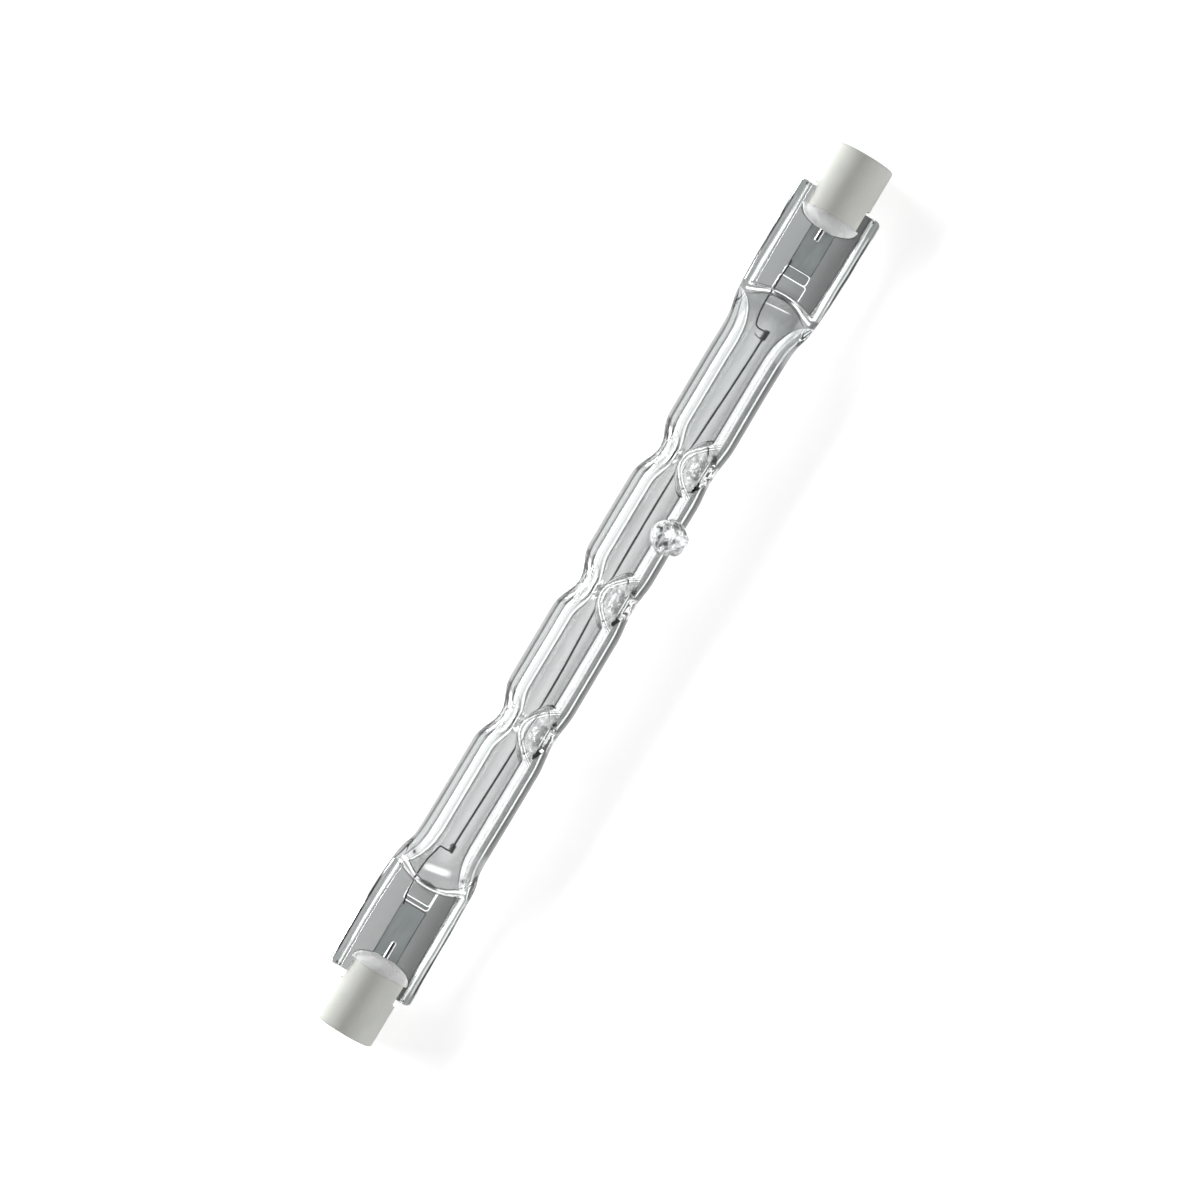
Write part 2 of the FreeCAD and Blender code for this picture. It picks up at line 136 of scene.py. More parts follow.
def gridFaces(rows, columns):
    # quads between neighbouring rows of a grid that closes on itself round each row
    r, c = np.meshgrid(np.arange(rows - 1), np.arange(columns), indexing="ij")
    n = (c + 1) % columns
    quads = np.stack([r * columns + c, r * columns + n, (r + 1) * columns + n, (r + 1) * columns + c], -1)
    return quads.reshape(-1, 4)


def fanFaces(ring, pole):
    # triangles from a closed ring of indices to one pole, kept as quads with the pole twice
    return np.stack([ring, np.roll(ring, -1), np.full_like(ring, pole), np.full_like(ring, pole)], -1)


def ladderFaces(start, columns):
    # a flat end: rungs from each point of a ring to the one mirrored in q, and quads between the rungs
    k = np.arange(-columns // 4, columns // 4)
    upper, nextUpper = k % columns, (k + 1) % columns
    lower, nextLower = (columns // 2 - k) % columns, (columns // 2 - k - 1) % columns
    return start + np.stack([upper, nextUpper, nextLower, lower], -1)


def volumeOf(points, faces):
    a, b, c, d = (points[faces[:, k]] for k in range(4))
    one = np.einsum("ij,ij->i", a, np.cross(b, c)).sum()
    return (one + np.einsum("ij,ij->i", a, np.cross(c, d)).sum()) / 6.0


def closedPart(points, faces, hollow=False):
    # faces turned so that they look out of the material; a hollow part is a void inside it
    if (volumeOf(points, faces) < 0) != hollow:
        faces = faces[:, ::-1]
    return points, faces


def gridPart(grid, hollow=False, ends="pole"):
    # grid (rows, columns, 3), closed round each row, its two ends closed by a pole or a ladder
    rows, columns = grid.shape[:2]
    points, faces = grid.reshape(-1, 3), [gridFaces(rows, columns)]
    last = (rows - 1) * columns
    if ends == "pole":
        points = np.vstack([points, grid[0].mean(0), grid[-1].mean(0)])
        faces.append(fanFaces(np.arange(columns)[::-1], rows * columns))
        faces.append(fanFaces(np.arange(columns) + last, rows * columns + 1))
    else:
        faces.append(ladderFaces(0, columns)[:, ::-1])
        faces.append(ladderFaces(last, columns))
    return closedPart(points, np.vstack(faces), hollow)


def makePiece(name, parts, nodes, sharp=None, finishes=1):
    # joins closed parts into one mesh at the origin and hides the frame's nodes that it stands for; with
    # two finishes the first part has the first and the others the second
    points, faces, finish, count = [], [], [], 0
    for number, (part, quads) in enumerate(parts):
        points.append(part)
        for quad in (quads + count).tolist():
            corners = [v for k, v in enumerate(quad) if v != quad[k - 1]]
            if len(corners) > 2:
                faces.append(corners)
                finish.append(min(number, finishes - 1))
        count += len(part)
    mesh = bpy.data.meshes.new(name)
    mesh.from_pydata(place(np.vstack(points)).tolist(), [], faces)
    mesh.polygons.foreach_set("use_smooth", np.ones(len(faces), dtype=bool))
    mesh.polygons.foreach_set("material_index", np.array(finish, dtype=np.int32))
    if sharp is not None:
        mesh.set_sharp_from_angle(angle=math.radians(sharp))
    piece = bpy.data.objects.new(name, mesh)
    scene.collection.objects.link(piece)
    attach(piece, "root")
    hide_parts(*nodes)
    print("%s: %d faces" % (name, len(mesh.polygons)))
    return piece


def swayed(grid):
    grid = np.array(grid)
    grid[..., 1] += curve(grid[..., 0], swayAt, swayBy)
    return grid


quartz = {
    "around": 160, "aroundBore": 96, "stations": (-17.8, 0.0, 17.8),
    "waistDepth": 0.62, "waistFlat": 0.5, "waistHalf": 4.2, "waistThin": 0.1,
    "dentFar": 4.56, "dentReach": 3.4, "dentRound": 0.4, "dentFlank": 38.0, "dentFirst": 90.0,
    "dentWall": 0.2,
    "crease": 0.8, "tipX": 9.35, "tipAngle": -46.0, "tipReach": 3.1,
    # from x to x, from p to p, level and thickness in q, and how square the outline is
    "gaps": [(-41.75, -39.95, -1.2, 2.1, -0.18, 0.16, 0.22), (-42.15, -41.9, -1.2, 2.0, -0.2, 0.12, 0.3),
             (40.75, 42.15, -1.75, 1.65, -0.18, 0.16, 0.22), (42.4, 43.45, -1.65, 1.6, -0.18, 0.12, 0.3)],
}


def pressedRadius(x, theta, glass, inset):
    # radius of the tube's skin: straight, narrowed by a rounded waist at each station and pressed in by
    # three wheels there. A wheel of radius reach has its centre far from the axis and a blunt V rim: at a
    # distance w beside its middle its radius is smaller by (sqrt(w*w + round*round) - round) / tan(flank).
    inner = inset > 0
    full = lamp["tubeRadius"] - inset
    drop = glass["waistDepth"] - (glass["waistThin"] if inner else 0.0)
    radius = np.full(np.broadcast(x, theta).shape, full)
    reach = glass["dentReach"] + (glass["dentWall"] if inner else 0.0)
    tip = glass["dentRound"] + (glass["dentWall"] * 0.5 if inner else 0.0)
    steep = 1.0 / math.tan(math.radians(glass["dentFlank"]))
    drop = drop * (0.76 + 0.24 * np.sin(theta))
    fade = glass["waistHalf"] - glass["waistFlat"]
    for station in glass["stations"]:
        radius = radius - drop * smooth((glass["waistHalf"] - np.abs(x - station)) / fade)
    for station in glass["stations"]:
        rows = np.abs(x[:, 0] - station) < reach + 0.3
        dx = x[rows] - station
        for k in range(3):
            phi = theta - math.radians(glass["dentFirst"] + 120.0 * k)
            low = np.full((rows.sum(), theta.shape[1]), 0.3)
            high = np.full_like(low, full + 0.7)
            ahead = np.cos(phi) > 0.2
            for _ in range(26):  # halves the range in which the wheel's rim is met
                middle = (low + high) / 2
                w = middle * np.sin(phi)
                rim = reach - steep * (np.sqrt(w * w + tip * tip) - tip)
                room = rim * rim - dx * dx
                inside = ahead & (rim > 0) & (room > 0)
                inside &= middle * np.cos(phi) > glass["dentFar"] - np.sqrt(np.maximum(room, 0.0))
                high, low = np.where(inside, middle, high), np.where(inside, low, middle)
            radius[rows] = softMin(radius[rows], (low + high) / 2, glass["crease"])
    return radius


def ringAngles(count):
    # even steps round a section, and how far each has turned from q (0) to p (1)
    theta = np.arange(count) * 2 * math.pi / count
    return theta, np.arcsin(np.clip(np.abs(np.sin(theta)), 0, 1)) / (math.pi / 2)


# the flat seal's quarter section, from the middle of the web (0) to the outer side (1)
sealTurns = [0.0, 0.40, 0.44, 0.48, 0.52, 0.56, 0.61, 0.66, 0.71, 0.75, 0.79, 0.83, 0.87, 0.91, 1.0]
sealAcross = [0.0, 3.90, 3.98, 4.05, 4.13, 4.23, 4.37, 4.54, 4.74, 4.93, 5.10, 5.23, 5.32, 5.37, 5.375]
sealHigh = [0.9, 0.9, 0.96, 1.14, 1.36, 1.54, 1.68, 1.77, 1.80, 1.77, 1.66, 1.48, 1.22, 0.9, 0.0]
sealCrest = 0.71  # where the rail is highest
ovalTurns = [0.0, 0.40, 0.52, 0.75, 0.85, 1.0]
ovalDegrees = [0.0, 49.4, 54.0, 72.0, 80.0, 90.0]


def sealRows(x, side, glass):
    # rows beyond the straight tube: an ellipse that widens and flattens, then a slab with rounded rails,
    # whose middle drops to the web behind an arc. x is the distance from mid-length, (rows, 1)
    theta, turn = ringAngles(glass["around"])
    theta, turn = theta[None, :], turn[None, :]
    s = (x - lamp["tubeHalf"]) / lamp["run"][side]
    wide = curve(s, [-1, 0, 1.2, 3.2, 5.2, 6.6, 8.0, 10.0, 13.0, 22.0],
                 [4.37, 4.37, 4.38, 4.52, 4.90, 5.08, 5.14, 5.24, 5.36, 5.375])
    high = curve(s, [-1, 0, 1.0, 2.2, 3.2, 4.2, 5.2, 6.2, 7.3, 8.5, 22.0],
                 [4.37, 4.37, 4.36, 4.26, 4.06, 3.66, 3.10, 2.42, 1.72, 1.6, 1.6])
    evenly = turn * 90.0
    degrees = evenly + (np.interp(turn, ovalTurns, ovalDegrees) - evenly) * smooth(s / 1.6)
    ovalP, ovalQ = wide * np.sin(np.radians(degrees)), high * np.cos(np.radians(degrees))
    across, tall = np.interp(turn, sealTurns, sealAcross), np.interp(turn, sealTurns, sealHigh)
    slabP = across * wide / lamp["sealHalf"]
    crown = np.cos(np.clip(turn / sealCrest, 0, 1) * math.pi / 2) ** 2
    slabQ = np.where(turn < sealCrest, lamp["railHigh"] + (high - lamp["railHigh"]) * crown, tall)
    blend = smooth((s - 2.0) / 4.8)
    p, q = ovalP + (slabP - ovalP) * blend, ovalQ + (slabQ - ovalQ) * blend
    pressed = smooth((s - 7.05) / 0.5)
    q = np.where(turn < sealCrest, q + (tall - q) * pressed, q)
    # the outer corner rounded in plan and the end's edges rounded in height
    end, corner, edge = lamp["end"][side], 0.6, 0.38
    beyond = np.clip((x - (end - corner)) / corner, 0, 1)
    limit = corner * (1 - np.sqrt(1 - beyond ** 2))
    outer = np.clip((p - lamp["railInner"]) / (wide - lamp["railInner"]), 0, 1)
    p = p - outer * limit
    last = np.clip((x - (end - edge)) / edge, 0, 1)
    q = q * (1 - (1 - np.sqrt(1 - last ** 2)) * 0.22)
    bend = smooth((s - 1.0) / 5.0) * smooth((end - 1.5 - x) / 6.0)
    bow = lamp["arcSag"][side] * np.minimum(1.0, (p / 4.0) ** 2) * bend
    signP, signQ = np.sign(np.round(np.sin(theta), 9)), np.sign(np.round(np.cos(theta), 9))
    return np.stack(np.broadcast_arrays(side * (x - bow), signP * p, signQ * q), -1)


def tubeRows(x, glass, inset, count):
    # rows of the pressed tube: its radius times the sine and cosine of the angle
    theta = ringAngles(count)[0][None, :]
    radius = pressedRadius(x, theta, glass, inset)
    return np.stack(np.broadcast_arrays(x, radius * np.sin(theta), radius * np.cos(theta)), -1)


def rowPlaces(low, high, fine, coarse, spots):
    # places from low to high, fine near the spots (centre, half width) and coarse elsewhere
    dense = np.linspace(low, high, int((high - low) / 0.01) + 1)
    step = np.full_like(dense, coarse)
    for centre, half in spots:
        step = np.minimum(step, fine + (coarse - fine) * smooth((np.abs(dense - centre) - half) / 1.5))
    travelled = np.concatenate([[0], np.cumsum(0.01 / step[:-1])])
    rows = int(round(travelled[-1]))
    return np.interp(np.linspace(0, travelled[-1], rows + 1), travelled, dense)


def stubFrame(glass):
    # where the filling stub's line leaves the lamp's axis, and the directions round the tube and out of it
    angle = math.radians(glass["tipAngle"])
    foot, aside = np.array([glass["tipX"], 0.0, 0.0]), np.array([0.0, math.cos(angle), -math.sin(angle)])
    return foot, aside, np.array([0.0, math.sin(angle), math.cos(angle)])


# the filling stub's profile: how far out of its foot a bit of skin comes from, and its radius and height
stubFrom = [0, 0.06, 0.13, 0.22, 0.34, 0.47, 0.60, 0.72, 0.85, 1.0]
stubRadius = [0.0, 0.20, 0.45, 0.95, 1.45, 1.80, 2.02, 2.16, 2.45, 3.1]
stubHeight = [7.55, 7.45, 6.95, 6.60, 6.15, 5.60, 5.00, 4.45, 3.95, 3.2]


def fillStub(points, glass):
    # the closed-off filling tube: skin near its foot is carried up a profile (radius, height), crumpled as
    # it rises. u, v and h lie along the tube, round it and straight out
    foot, aside, out = stubFrame(glass)
    rel = points - foot
    u, v, h = rel[..., 0], rel @ aside, rel @ out
    rho = np.hypot(u, v)
    near = (rho < glass["tipReach"]) & (h > 0)
    turnedBy = np.arctan2(v, u)
    reach = rho / glass["tipReach"]
    radius, rise = curve(reach, stubFrom, stubRadius), curve(reach, stubFrom, stubHeight)
    lump = (np.sin(3 * turnedBy + 1.1 + 2.3 * rise) + 0.7 * np.sin(5 * turnedBy - 2.0 * rise + 0.4)
            + 0.5 * np.sin(8 * turnedBy + 5.0 * rise))
    mask = smooth((rise - 4.5) / 0.6) * smooth((7.45 - rise) / 0.5)
    radius = radius * (1 + 0.06 * lump * mask)
    rise = rise + 0.10 * mask * np.sin(4 * turnedBy - 1.3) - 0.12 * mask * np.cos(2 * turnedBy)
    offU = 0.28 * smooth((rise - 6.0) / 1.4)
    surface = np.sqrt(np.maximum(lamp["tubeRadius"] ** 2 - (radius * np.sin(turnedBy)) ** 2, 1.0))
    blend = smooth((reach - 0.72) / 0.28)
    height = rise * (1 - blend) + surface * blend
    height = np.maximum(height, surface)
    moved = (foot + (radius * np.cos(turnedBy) + offU)[..., None] * axisX
             + (radius * np.sin(turnedBy))[..., None] * aside + height[..., None] * out)
    return np.where(near[..., None], moved, points)


def quartzParts(glass):
    # the outer skin from end to end, the bore inside it, the gaps beside the foils and the stub's hollow
    half = lamp["tubeHalf"]
    spots = [(s, 3.3) for s in glass["stations"]] + [(glass["tipX"], 2.2)]
    middle = rowPlaces(-half, half, 0.17, 0.62, spots)[:, None]
    grids = [fillStub(tubeRows(middle, glass, 0.0, glass["around"]), glass)]
    for side in (-1, 1):
        run, arc, end = lamp["run"][side], lamp["arcMid"][side], lamp["end"][side]
        shoulder = np.arange(half + 0.25 * run, arc - 0.25, 0.24)
        wall = np.linspace(arc - 0.24, arc + 0.32, 12)
        web = np.linspace(arc + 0.5, end - 0.7, 20)
        corner = end - 0.6 + 0.6 * np.sin(np.linspace(0, math.pi / 2 * 0.97, 9))
        x = np.concatenate([shoulder, wall, web, corner])[:, None]
        rows = sealRows(x, side, glass)
        grids = [rows[::-1]] + grids if side < 0 else grids + [rows]
    outside = gridPart(swayed(np.concatenate(grids)), ends="ladder")

    bore = rowPlaces(-half, half, 0.24, 0.8, [(s, 3.5) for s in glass["stations"]])[:, None]
    count = glass["aroundBore"]
    grids = [tubeRows(bore, glass, lamp["wall"], count)]
    theta = ringAngles(count)[0][None, :]
    radius = lamp["tubeRadius"] - lamp["wall"]
    for side in (-1, 1):
        last = 6.0 + 0.42 * np.sin(np.linspace(0, math.pi / 2 * 0.96, 9))
        s = np.concatenate([np.arange(0.35, 5.8, 0.3), last])[:, None]
        wide = radius * curve(s, [-1, 0, 1.0, 3.0, 4.8, 5.7, 6.1, 6.5],
                              [1, 1, 1, 1.03, 1.06, 1.02, 0.97, 0.85])
        high = radius * curve(s, [-1, 0, 1.0, 2.0, 3.0, 4.0, 4.8, 5.7, 6.1, 6.5],
                              [1, 1, 0.995, 0.965, 0.88, 0.70, 0.47, 0.24, 0.17, 0.11])
        shut = np.sqrt(1 - np.clip((s - 6.0) / 0.43, 0, 1) ** 2)
        x = half + s * lamp["run"][side]
        p, q = wide * (0.25 + 0.75 * shut) * np.sin(theta), high * shut * np.cos(theta)
        bow = lamp["arcSag"][side] * np.minimum(1.0, (p / 3.6) ** 2) * smooth((s - 2.0) / 4.0)
        rows = np.stack(np.broadcast_arrays(side * (x - bow), p, q), -1)
        grids = [rows[::-1]] + grids if side < 0 else grids + [rows]
    parts = [outside, gridPart(swayed(np.concatenate(grids)), hollow=True)]
    parts += [gapPart(*gap) for gap in glass["gaps"]]
    return parts + [stubHollow(glass)]


def gapPart(low, high, pLow, pHigh, level, thick, rounding):
    # a thin flat void where the glass hasn't closed on the foil: rounded rectangles stacked in height, the
    # outline |cos|**n, |sin|**n with n under 1, its rim drawn in like the sine of the height's angle
    theta = np.arange(72)[None, :] * 2 * math.pi / 72
    rise = np.linspace(0.12, math.pi - 0.12, 9)[:, None]
    inset = thick * (1 - np.sin(rise))
    x = (high - low) / 2 - inset, (low + high) / 2
    p = (pHigh - pLow) / 2 - inset, (pLow + pHigh) / 2
    along = x[1] + x[0] * np.sign(np.cos(theta)) * np.abs(np.cos(theta)) ** rounding
    across = p[1] + p[0] * np.sign(np.sin(theta)) * np.abs(np.sin(theta)) ** rounding
    q = level + thick / 2 * np.cos(rise)
    return gridPart(np.stack(np.broadcast_arrays(along, across, q), -1), hollow=True)


def stubHollow(glass):
    # the narrow crumpled bore that the filling stub closes on: a radius that swells and closes along its
    # height, with three and five lobes that turn as they rise
    foot, aside, out = stubFrame(glass)
    theta = np.arange(40)[None, :] * 2 * math.pi / 40
    t = np.linspace(0.05, 0.97, 26)[:, None]
    height = 4.25 + 2.35 * t
    radius = 1.05 * np.sin(math.pi * t) ** 0.6 * (1 - 0.55 * t)
    radius = radius * (1 + 0.22 * np.sin(3 * theta + 5 * t) + 0.16 * np.sin(5 * theta - 9 * t + 1.0))
    u, v = radius * np.cos(theta) + 0.25 * t, radius * np.sin(theta)
    grid = foot + u[..., None] * axisX + v[..., None] * aside + height[..., None] * out
    return gridPart(swayed(grid), hollow=True)


makePiece("quartzEnvelope", quartzParts(quartz), ["glass_envelope"], finishes=2)


def ringPart(profile, side, around, squeeze=None):
    # a profile of (x, radius) turned round the lamp's axis; squeeze changes the points afterwards
    profile = np.asarray(profile, dtype=float)
    theta = ringAngles(around)[0][None, :]
    x, radius = profile[:, :1], profile[:, 1:]
    grid = np.stack(np.broadcast_arrays(side * x, radius * np.sin(theta), radius * np.cos(theta)), -1)
    return gridPart(grid if squeeze is None else squeeze(grid))


def roundedProfile(corners, steps=6):
    # corners (x, radius, rounding): each is replaced by a curve of that size between its two sides
    done = []
    for k, (x, r, size) in enumerate(corners):
        here = np.array([x, r])
        if size == 0 or k in (0, len(corners) - 1):
            done.append(here)
            continue
        before, after = np.array(corners[k - 1][:2]) - here, np.array(corners[k + 1][:2]) - here
        a, b = here + before / np.linalg.norm(before) * size, here + after / np.linalg.norm(after) * size
        t = np.linspace(0, 1, steps)[:, None]
        done.extend((1 - t) ** 2 * a + 2 * t * (1 - t) * here + t * t * b)
    return np.array(done)


cap = {
    "inner": 50.7, "radius": 3.62, "edge": 0.4, "recessRadius": 1.9, "recessDepth": 1.7, "mouth": 0.25,
    "slotHalf": 1.35, "slotEnd": 53.4, "slotRadius": 3.28, "buttonRadius": 1.6,
}


def capPart(side, size):
    # a turned cup: a hole for the wire, the skin, the rounded rim, the recess and the seat of its contact
    rim, face = lamp["halfLength"], lamp["halfLength"] - size["recessDepth"]
    profile = roundedProfile([
        (size["inner"] + 0.3, 0.3, 0), (size["inner"], 0.9, 0), (size["inner"], size["radius"], 0.12),
        (size["inner"] + 1.2, size["radius"], 0), (size["slotEnd"] - 0.06, size["radius"], 0),
        (size["slotEnd"] + 0.06, size["radius"], 0), (rim - 2.4, size["radius"], 0),
        (rim, size["radius"], size["edge"]), (rim, size["recessRadius"], size["mouth"]),
        (face, size["recessRadius"], 0.08), (face, size["buttonRadius"] + 0.02, 0.02),
        (face - 0.25, size["buttonRadius"] + 0.02, 0), (face - 0.25, 0.2, 0)])

    def slot(grid):
        # the slot for the seal, filled with cement a little below the cap's skin
        x, p, q = np.abs(grid[..., 0]), grid[..., 1], grid[..., 2]
        radius = np.hypot(p, q)
        deep = smooth((size["slotEnd"] - x) / 0.12 + 0.5) * (radius > size["slotRadius"])
        deep = deep * smooth((size["slotHalf"] - np.abs(q)) / 0.18 + 0.5)
        scale = 1 - deep * (1 - size["slotRadius"] / np.maximum(radius, 0.1))
        return np.stack([grid[..., 0], p * scale, q * scale], -1)

    return ringPart(profile, side, 144, slot)


cement = {"apex": 48.9, "radius": 3.74, "web": 0.9, "inner": cap["inner"]}


def cementParts(side, size):
    # two domes, one on each face of the web: rows across the dome's depth, each a lumpy arch closed along
    # the web
    parts = []
    depth = size["inner"] - size["apex"]
    for up in (-1, 1):
        t = np.sin(np.linspace(0.04, math.pi / 2, 20))[:, None]
        radius = size["radius"] * np.sqrt(1 - (1 - t) ** 2.2)
        arch = np.linspace(-math.pi / 2, math.pi / 2, 49)[None, :]
        lump = 0.05 * np.sin(5.0 * arch + 3.0 * t + up + side)
        lump = (lump + 0.035 * np.sin(11.0 * arch - 7.0 * t + side)) * smooth((1 - t) / 0.3)
        p = (radius + lump) * np.sin(arch)
        q = np.maximum((radius + lump) * np.cos(arch), size["web"] - 0.02)
        x = np.broadcast_to(size["apex"] + depth * t, p.shape)
        back = np.linspace(1, -1, 25)[None, 1:-1]
        floorP = (radius + lump[:, -1:]) * back
        row = np.stack([np.concatenate([x, np.broadcast_to(x[:, :1], floorP.shape)], 1),
                        np.concatenate([p, floorP], 1),
                        np.concatenate([q, np.full_like(floorP, size["web"] - 0.06)], 1)], -1)
        row = row * np.array([side, 1.0, up])
        parts.append(gridPart(row))
    return parts


button = {"radius": 1.6, "thick": 0.6}


def buttonPart(side, size):
    # a turned disc with a rounded edge and a slightly dished face
    face = lamp["halfLength"] - cap["recessDepth"]
    back = face - size["thick"]
    profile = roundedProfile([
        (back, 0.1, 0), (back, size["radius"], 0.08), (face - 0.05, size["radius"], 0.22),
        (face, 1.0, 0.2), (face - 0.02, 0.5, 0.2), (face - 0.05, 0.05, 0)])
    return ringPart(profile, side, 64)


def sweep(path, radius, around=14, flat=(0.0, 0.0, 1.0)):
    # a round wire along a path (n, 3): the ring's two directions are square to the path, and one of them
    # is square to flat too
    path = np.asarray(path, dtype=float)
    ahead = np.gradient(path, axis=0)
    ahead /= np.linalg.norm(ahead, axis=1)[:, None]
    first = np.cross(ahead, flat)
    first /= np.linalg.norm(first, axis=1)[:, None]
    second = np.cross(first, ahead)
    theta = np.arange(around) * 2 * math.pi / around
    radius = np.broadcast_to(radius, (len(path),))[:, None, None]
    ring = first[:, None] * np.cos(theta)[None, :, None] + second[:, None] * np.sin(theta)[None, :, None]
    return gridPart(path[:, None] + ring * radius)


outerLead = {"radius": 0.33, "aside": {-1: 0.22, 1: 0.05}, "inner": {-1: 46.8, 1: 47.4}, "outer": 56.4}
foil = {"half": 1.5, "aside": {-1: 0.3, 1: -0.06}, "thick": 0.06, "level": -0.30, "outer": 49.3,
        "inner": {-1: 42.2, 1: 43.6}}
innerLead = {
    "radius": 0.1, "level": -0.12,
    "along": {-1: [(42.6, 1.62), (41.7, 1.85), (40.8, 1.98), (39.0, 2.0), (37.0, 1.82), (35.2, 1.52)],
              1: [(44.2, 1.3), (42.0, 1.42), (40.0, 1.43), (39.0, 1.4), (37.6, 1.31), (36.6, 1.2)]},
    "bend": {-1: (34.68, 1.47), 1: (35.58, 1.1)}, "bendRadius": {-1: 0.22, 1: 0.6},
}


def outerLeadPart(side, size):
    # a straight wire from the contact, with a rounded end on the foil
    start = size["inner"][side]
    t = np.linspace(0.15, 1.0, 6)
    x = np.concatenate([start + size["radius"] * t, [start + 3.0, size["outer"]]])
    radius = np.concatenate([size["radius"] * np.sqrt(1 - (1 - t) ** 2), [size["radius"]] * 2])
    path = np.stack([side * x, np.full_like(x, size["aside"][side]), np.zeros_like(x)], -1)
    return sweep(path, radius, 24)


def foilPart(side, size):
    # a strip with feathered long edges: a flat oval section carried along the seal
    x = np.linspace(size["inner"][side], size["outer"], 24)[:, None]
    theta = np.arange(24)[None, :] * 2 * math.pi / 24
    across = np.sign(np.cos(theta)) * np.abs(np.cos(theta)) ** 0.5
    p = size["aside"][side] + size["half"] * across + 0 * x
    q = size["level"] + size["thick"] * 0.5 * np.sin(theta) + 0.012 * np.sin(x * 2.3 + 3 * across)
    return gridPart(np.stack(np.broadcast_arrays(side * x, p, q), -1))


def innerLeadPath(side, size):
    # from its weld on the foil, in along the seal, then round a bend towards the axis
    run = np.array(size["along"][side])
    bendX, bendP = size["bend"][side]
    r = size["bendRadius"][side]
    t = np.linspace(0, math.pi / 2, 9)
    arc = np.stack([bendX + r * (1 - np.sin(t)), bendP - r * (1 - np.cos(t))], -1)
    coil = filamentBow(side * bendX)[0] + 0.2
    down = np.array([[bendX, (bendP - r + coil) / 2], [bendX, coil]])
    flat = np.vstack([run, arc, down])
    level = np.full(len(flat), size["level"])
    level[-2:] = [size["level"] * 0.6, 0.0]
    return np.stack([side * flat[:, 0], flat[:, 1], level], -1)


def helix(start, end, radius, pitch, bow, perTurn):
    # a coil round the line that bow gives: radius times the sine and cosine of a steadily growing angle
    turns = abs(end - start) / pitch
    t = np.linspace(0, 1, int(turns * perTurn) + 1)
    x = start + (end - start) * t
    angle = 2 * math.pi * turns * t
    p, q = bow(x)
    return np.stack([x, p + radius * np.sin(angle), q + radius * np.cos(angle)], -1)


filament = {
    "coilRadius": 0.12, "wire": 0.04, "pitch": 0.135, "ends": (-34.7, 35.8),
    "sleeveRadius": 0.31, "sleeveWire": 0.058, "sleevePitch": 0.21,
    "sleeve": {-1: (33.7, 34.75), 1: (34.5, 35.9)},
}


def filamentBow(x):
    # the coil hangs almost straight between its two ends, a little low in the middle of each span
    p = curve(x, [-36, -34, -26, -20, -10, -4, 0, 9, 15, 18, 23, 27, 34, 36],
              [0.1, 0.08, -0.1, -0.24, -0.25, 0.0, 0.17, 0.3, 0.27, 0.2, 0.0, -0.19, -0.44, -0.47])
    return p, 0.0 * x - 0.02


def coilPart(start, end, radius, wire, pitch, around=5, perTurn=12):
    # the wire looks heavier in the middle of each span than beside the pressing stations
    path = helix(start, end, radius, pitch, filamentBow, perTurn)
    spare = np.min([np.abs(path[:, 0] - station) for station in quartz["stations"]], axis=0)
    return sweep(path, wire * (0.78 + 0.42 * smooth(spare / 6.0)), around, flat=axisX)


def sleeveTail(side, size):
    # the loose end of the sleeve's wire: a hook on the right, a short stub on the left
    rise = {-1: [(-33.95, 0.3), (-33.98, 0.42), (-34.0, 0.56)],
            1: [(34.62, -0.25), (34.55, 0.0), (34.58, 0.25), (34.68, 0.48), (34.8, 0.62)]}[side]
    path = np.array([(x, p, 0.24) for x, p in rise])
    return sweep(path, size["sleeveWire"], 8)


for side, word in sides.items():
    end = word.title()
    makePiece("cap" + end, [capPart(side, cap)], ["ceramic_cap_" + word], 35)
    makePiece("cement" + end, cementParts(side, cement), ["cap_cement_" + word], 50)
    makePiece("button" + end, [buttonPart(side, button)], ["contact_button_" + word], 35)
    makePiece("outerLead" + end, [outerLeadPart(side, outerLead)], ["outer_lead_" + word])
    makePiece("foil" + end, [foilPart(side, foil)], ["sealing_foil_" + word], 40)
    makePiece("innerLead" + end, [sweep(innerLeadPath(side, innerLead), innerLead["radius"])],
              ["inner_lead_" + word])
    near, far = (side * value for value in filament["sleeve"][side])
    turns = coilPart(near, far, filament["sleeveRadius"], filament["sleeveWire"], filament["sleevePitch"],
                     around=8, perTurn=20)
    makePiece("sleeve" + end, [turns, sleeveTail(side, filament)], ["filament_sleeve_" + word])
makePiece("filamentCoil", [coilPart(*filament["ends"], filament["coilRadius"], filament["wire"],
                                    filament["pitch"])], ["filament"])


def newMaterial(name, **inputs):
    material = bpy.data.materials.new(name)
    material.use_nodes = True
    shader = material.node_tree.nodes["Principled BSDF"]
    for key, value in inputs.items():
        shader.inputs[key].default_value = value
    return material, material.node_tree, shader


def dress(name, material):
    bpy.data.objects[name].data.materials.append(material)


def feed(tree, value, socket):
    # gives a socket a plain value, or links it to the socket that feeds it
    if isinstance(value, bpy.types.NodeSocket):
        tree.links.new(value, socket)
    else:
        socket.default_value = value


def node(tree, kind, settings=None, **inputs):
    # a shader node; inputs are values or the sockets that feed them, by name or by _number
    made = tree.nodes.new("ShaderNode" + kind)
    for key, value in (settings or {}).items():
        setattr(made, key, value)
    for key, value in inputs.items():
        feed(tree, value, made.inputs[int(key[1:]) if key[0] == "_" else key.replace("_", " ")])
    return made


def maths(tree, operation, *values):
    inputs = {"_%d" % k: value for k, value in enumerate(values)}
    return node(tree, "Math", {"operation": operation}, **inputs).outputs[0]


def blend(tree, factor, a, b, mode="MIX"):
    # colour a changed towards b by factor
    return node(tree, "Mix", {"data_type": "RGBA", "blend_type": mode}, _0=factor, _6=a, _7=b).outputs[2]


